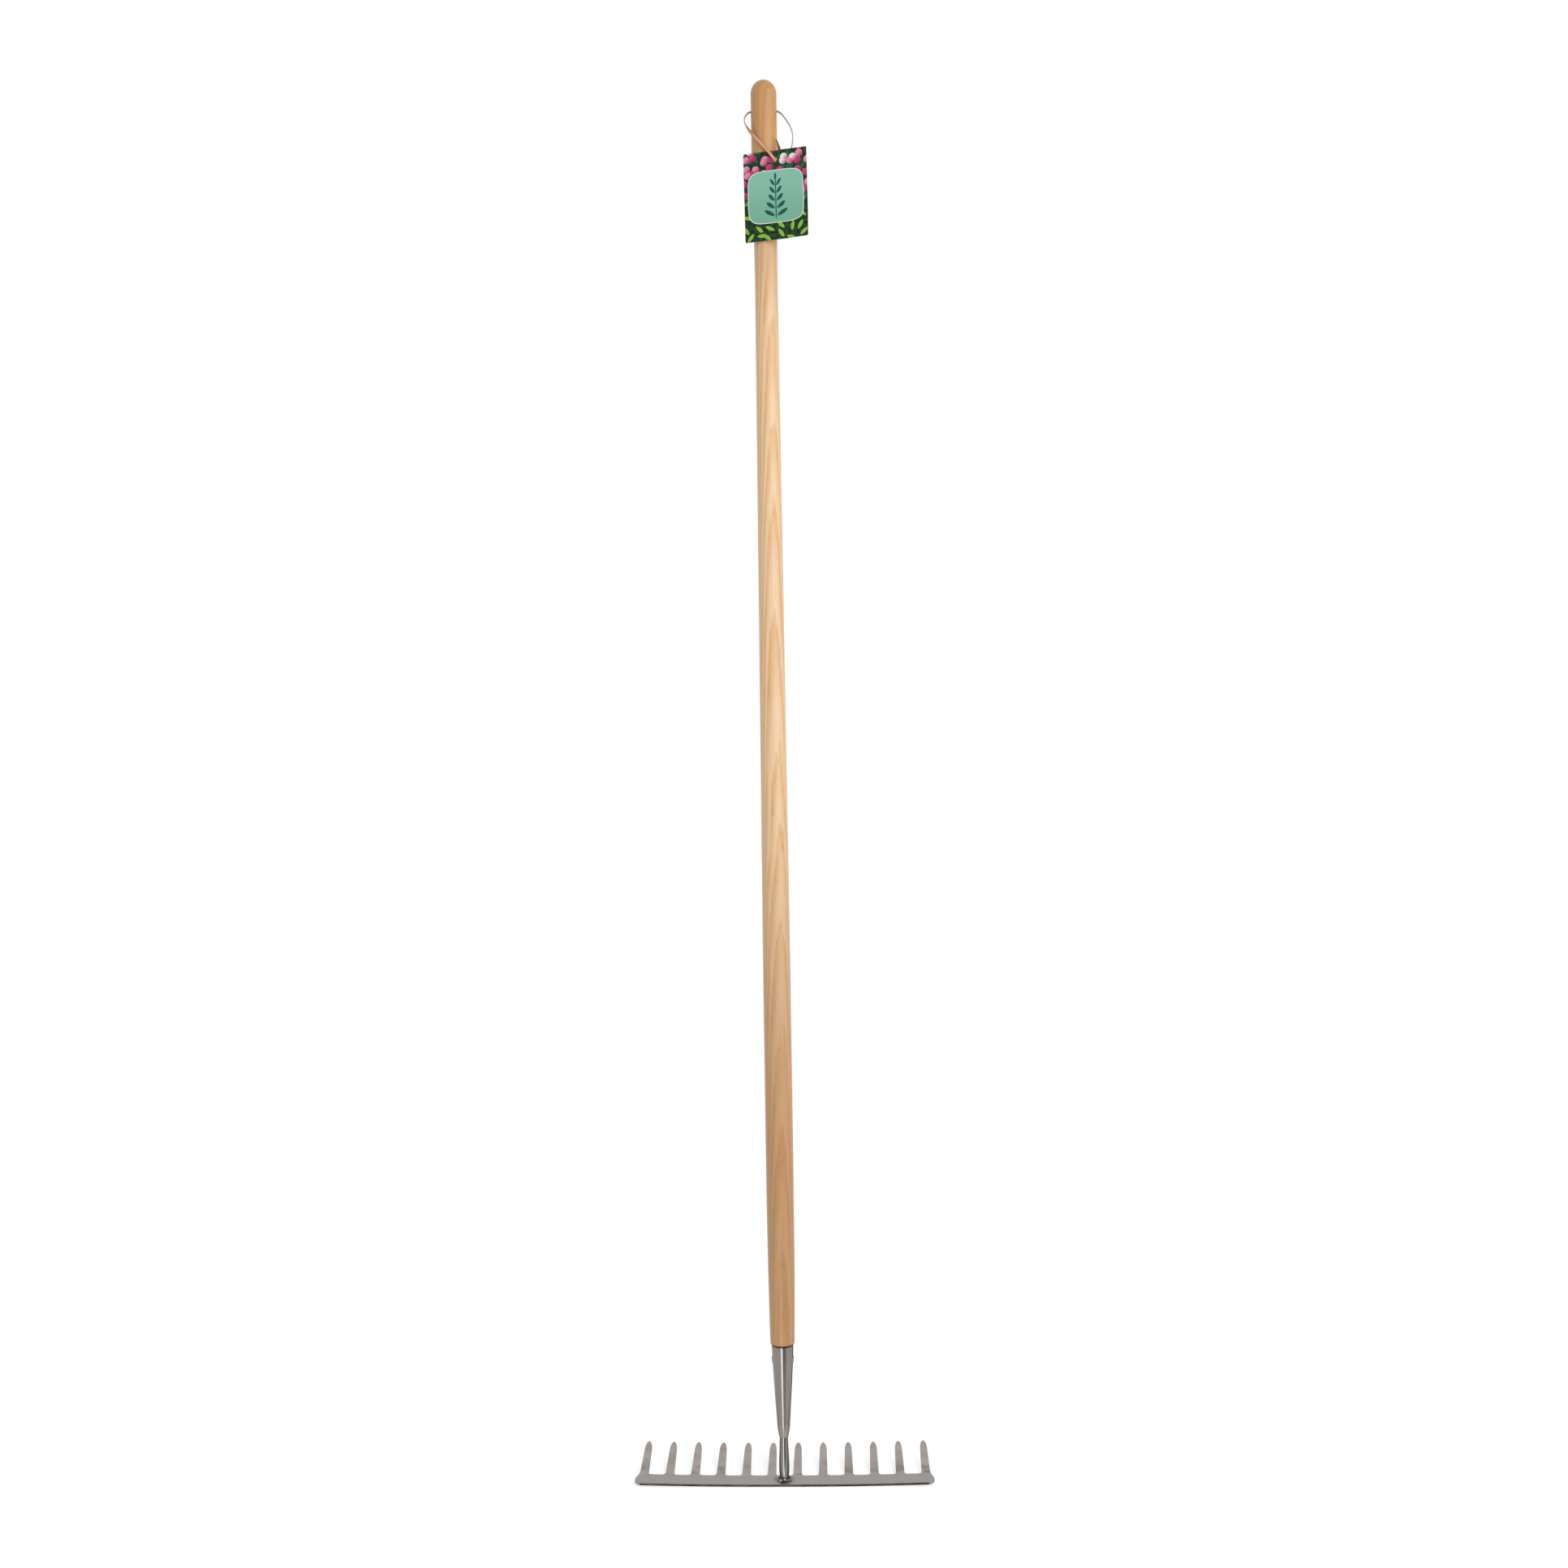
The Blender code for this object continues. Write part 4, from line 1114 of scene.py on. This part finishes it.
floor_white, tree, shader = new_material("floor_white", 0.9)
shader.inputs["Base Color"].default_value = floor_colour
shader.inputs["Specular IOR Level"].default_value = 0.0
feed(shader.inputs["Alpha"], fade(distance_to(coords(tree)), *floor_fade, 1.0, 0.0))
paths = tree.nodes.new("ShaderNodeLightPath")
shader.inputs["Emission Color"].default_value = plain_white
feed(shader.inputs["Emission Strength"], times(paths.outputs["Is Camera Ray"], floor_lift))
bm = bmesh.new()
bmesh.ops.create_circle(bm, cap_ends=True, segments=floor_steps, radius=floor_radius)
bmesh.ops.translate(bm, verts=bm.verts, vec=(0, 0, -floor_drop))
floor = make_piece("floor", bm, floor_white)
floor.visible_glossy = False

# Studio. A white room that gives about half of the light, a large softbox on the right and a smaller one on
# the left. The camera and reflections see the room as plain white.
room_light = 0.48
room = bpy.data.worlds.new("white_room")
bpy.context.scene.world = room
room.use_nodes = True
tree = room.node_tree
background = tree.nodes["Background"]
background.inputs["Color"].default_value = plain_white
paths = tree.nodes.new("ShaderNodeLightPath")
seen = maths("MAXIMUM", paths.outputs["Is Camera Ray"], paths.outputs["Is Glossy Ray"])
seen = maths("MAXIMUM", seen, paths.outputs["Is Transmission Ray"])
feed(background.inputs["Strength"], fade(seen, 0.0, 1.0, room_light, 1.0))


def add_softbox(name, place, target, size, power):
    """A rectangular lamp turned to face a point."""
    lamp = bpy.data.lights.new(name, "AREA")
    lamp.shape = "RECTANGLE"
    lamp.size, lamp.size_y = size
    lamp.energy = power
    softbox = bpy.data.objects.new(name, lamp)
    bpy.context.scene.collection.objects.link(softbox)
    softbox.location = place
    softbox.rotation_euler = (Vector(target) - Vector(place)).to_track_quat("-Z", "Y").to_euler()
    softbox.visible_camera = False
    return softbox


add_softbox("key_softbox", (1.3, -1.5, 1.5), target=(0.0, 0.0, 1.0), size=(1.8, 2.2), power=28.0)
add_softbox("fill_softbox", (-1.6, -1.2, 1.2), target=(0.0, 0.0, 0.8), size=(1.6, 2.2), power=7.5)

# Cards. A bright and a black one before the rake and a grey one behind it, all below the floor. They are seen
# only in the polished steel, where they draw bright and dark lines down the socket and the tang.
card_distance = 1.0
card_high = -0.02
card_tint = (0.85, 0.925, 1.0, 1.0)
cards = (
    ("bright_card", -7.0, 15.0, 4.4, -1.2),
    ("black_card", 22.0, 36.0, 0.0, -0.37),
    ("grey_card", 150.0, 40.0, 0.12, -1.2),
)


def add_card(name, facing, spread, brightness, card_low):
    """An upright card that only reflections show; its middle and width are angles in degrees."""
    material, _, shader = new_material(name, 1.0)
    shader.inputs["Base Color"].default_value = (0.0, 0.0, 0.0, 1.0)
    shader.inputs["Emission Color"].default_value = card_tint
    shader.inputs["Emission Strength"].default_value = brightness
    material.cycles.emission_sampling = "NONE"
    bm = bmesh.new()
    foot = []
    for degrees in (facing - spread / 2, facing, facing + spread / 2):
        turn = math.radians(degrees)
        foot.append(bm.verts.new((card_distance * math.sin(turn), -card_distance * math.cos(turn), card_low)))
    edges = [bm.edges.new(pair) for pair in zip(foot, foot[1:])]
    lift(bm, bmesh.ops.extrude_edge_only(bm, edges=edges), (0, 0, card_high - card_low))
    card = make_piece(name, bm, material)
    card.visible_camera = False
    card.visible_diffuse = False
    card.visible_transmission = False
    card.visible_shadow = False


for values in cards:
    add_card(*values)

# Camera. It stands at the height of the shaft's middle and looks level, a touch from the right and tilted
# by the lean of the rake in the photograph.
focal_pixels = 1913.0
frame_pixels = 1932.0
camera_distance = 1.846
camera_height = 0.8295
camera_side = 0.012
camera_yaw = math.radians(1.6)
camera_roll = math.radians(0.87)
camera_data = bpy.data.cameras.new("camera")
camera_data.sensor_width = 36.0
camera_data.lens = camera_data.sensor_width * focal_pixels / frame_pixels
camera = bpy.data.objects.new("camera", camera_data)
bpy.context.scene.collection.objects.link(camera)
camera.location = Matrix.Rotation(camera_yaw, 3, "Z") @ Vector((camera_side, -camera_distance, camera_height))
camera.rotation_euler = (math.pi / 2, camera_roll, camera_yaw)
bpy.context.scene.camera = camera
bpy.context.scene.view_settings.view_transform = "Standard"
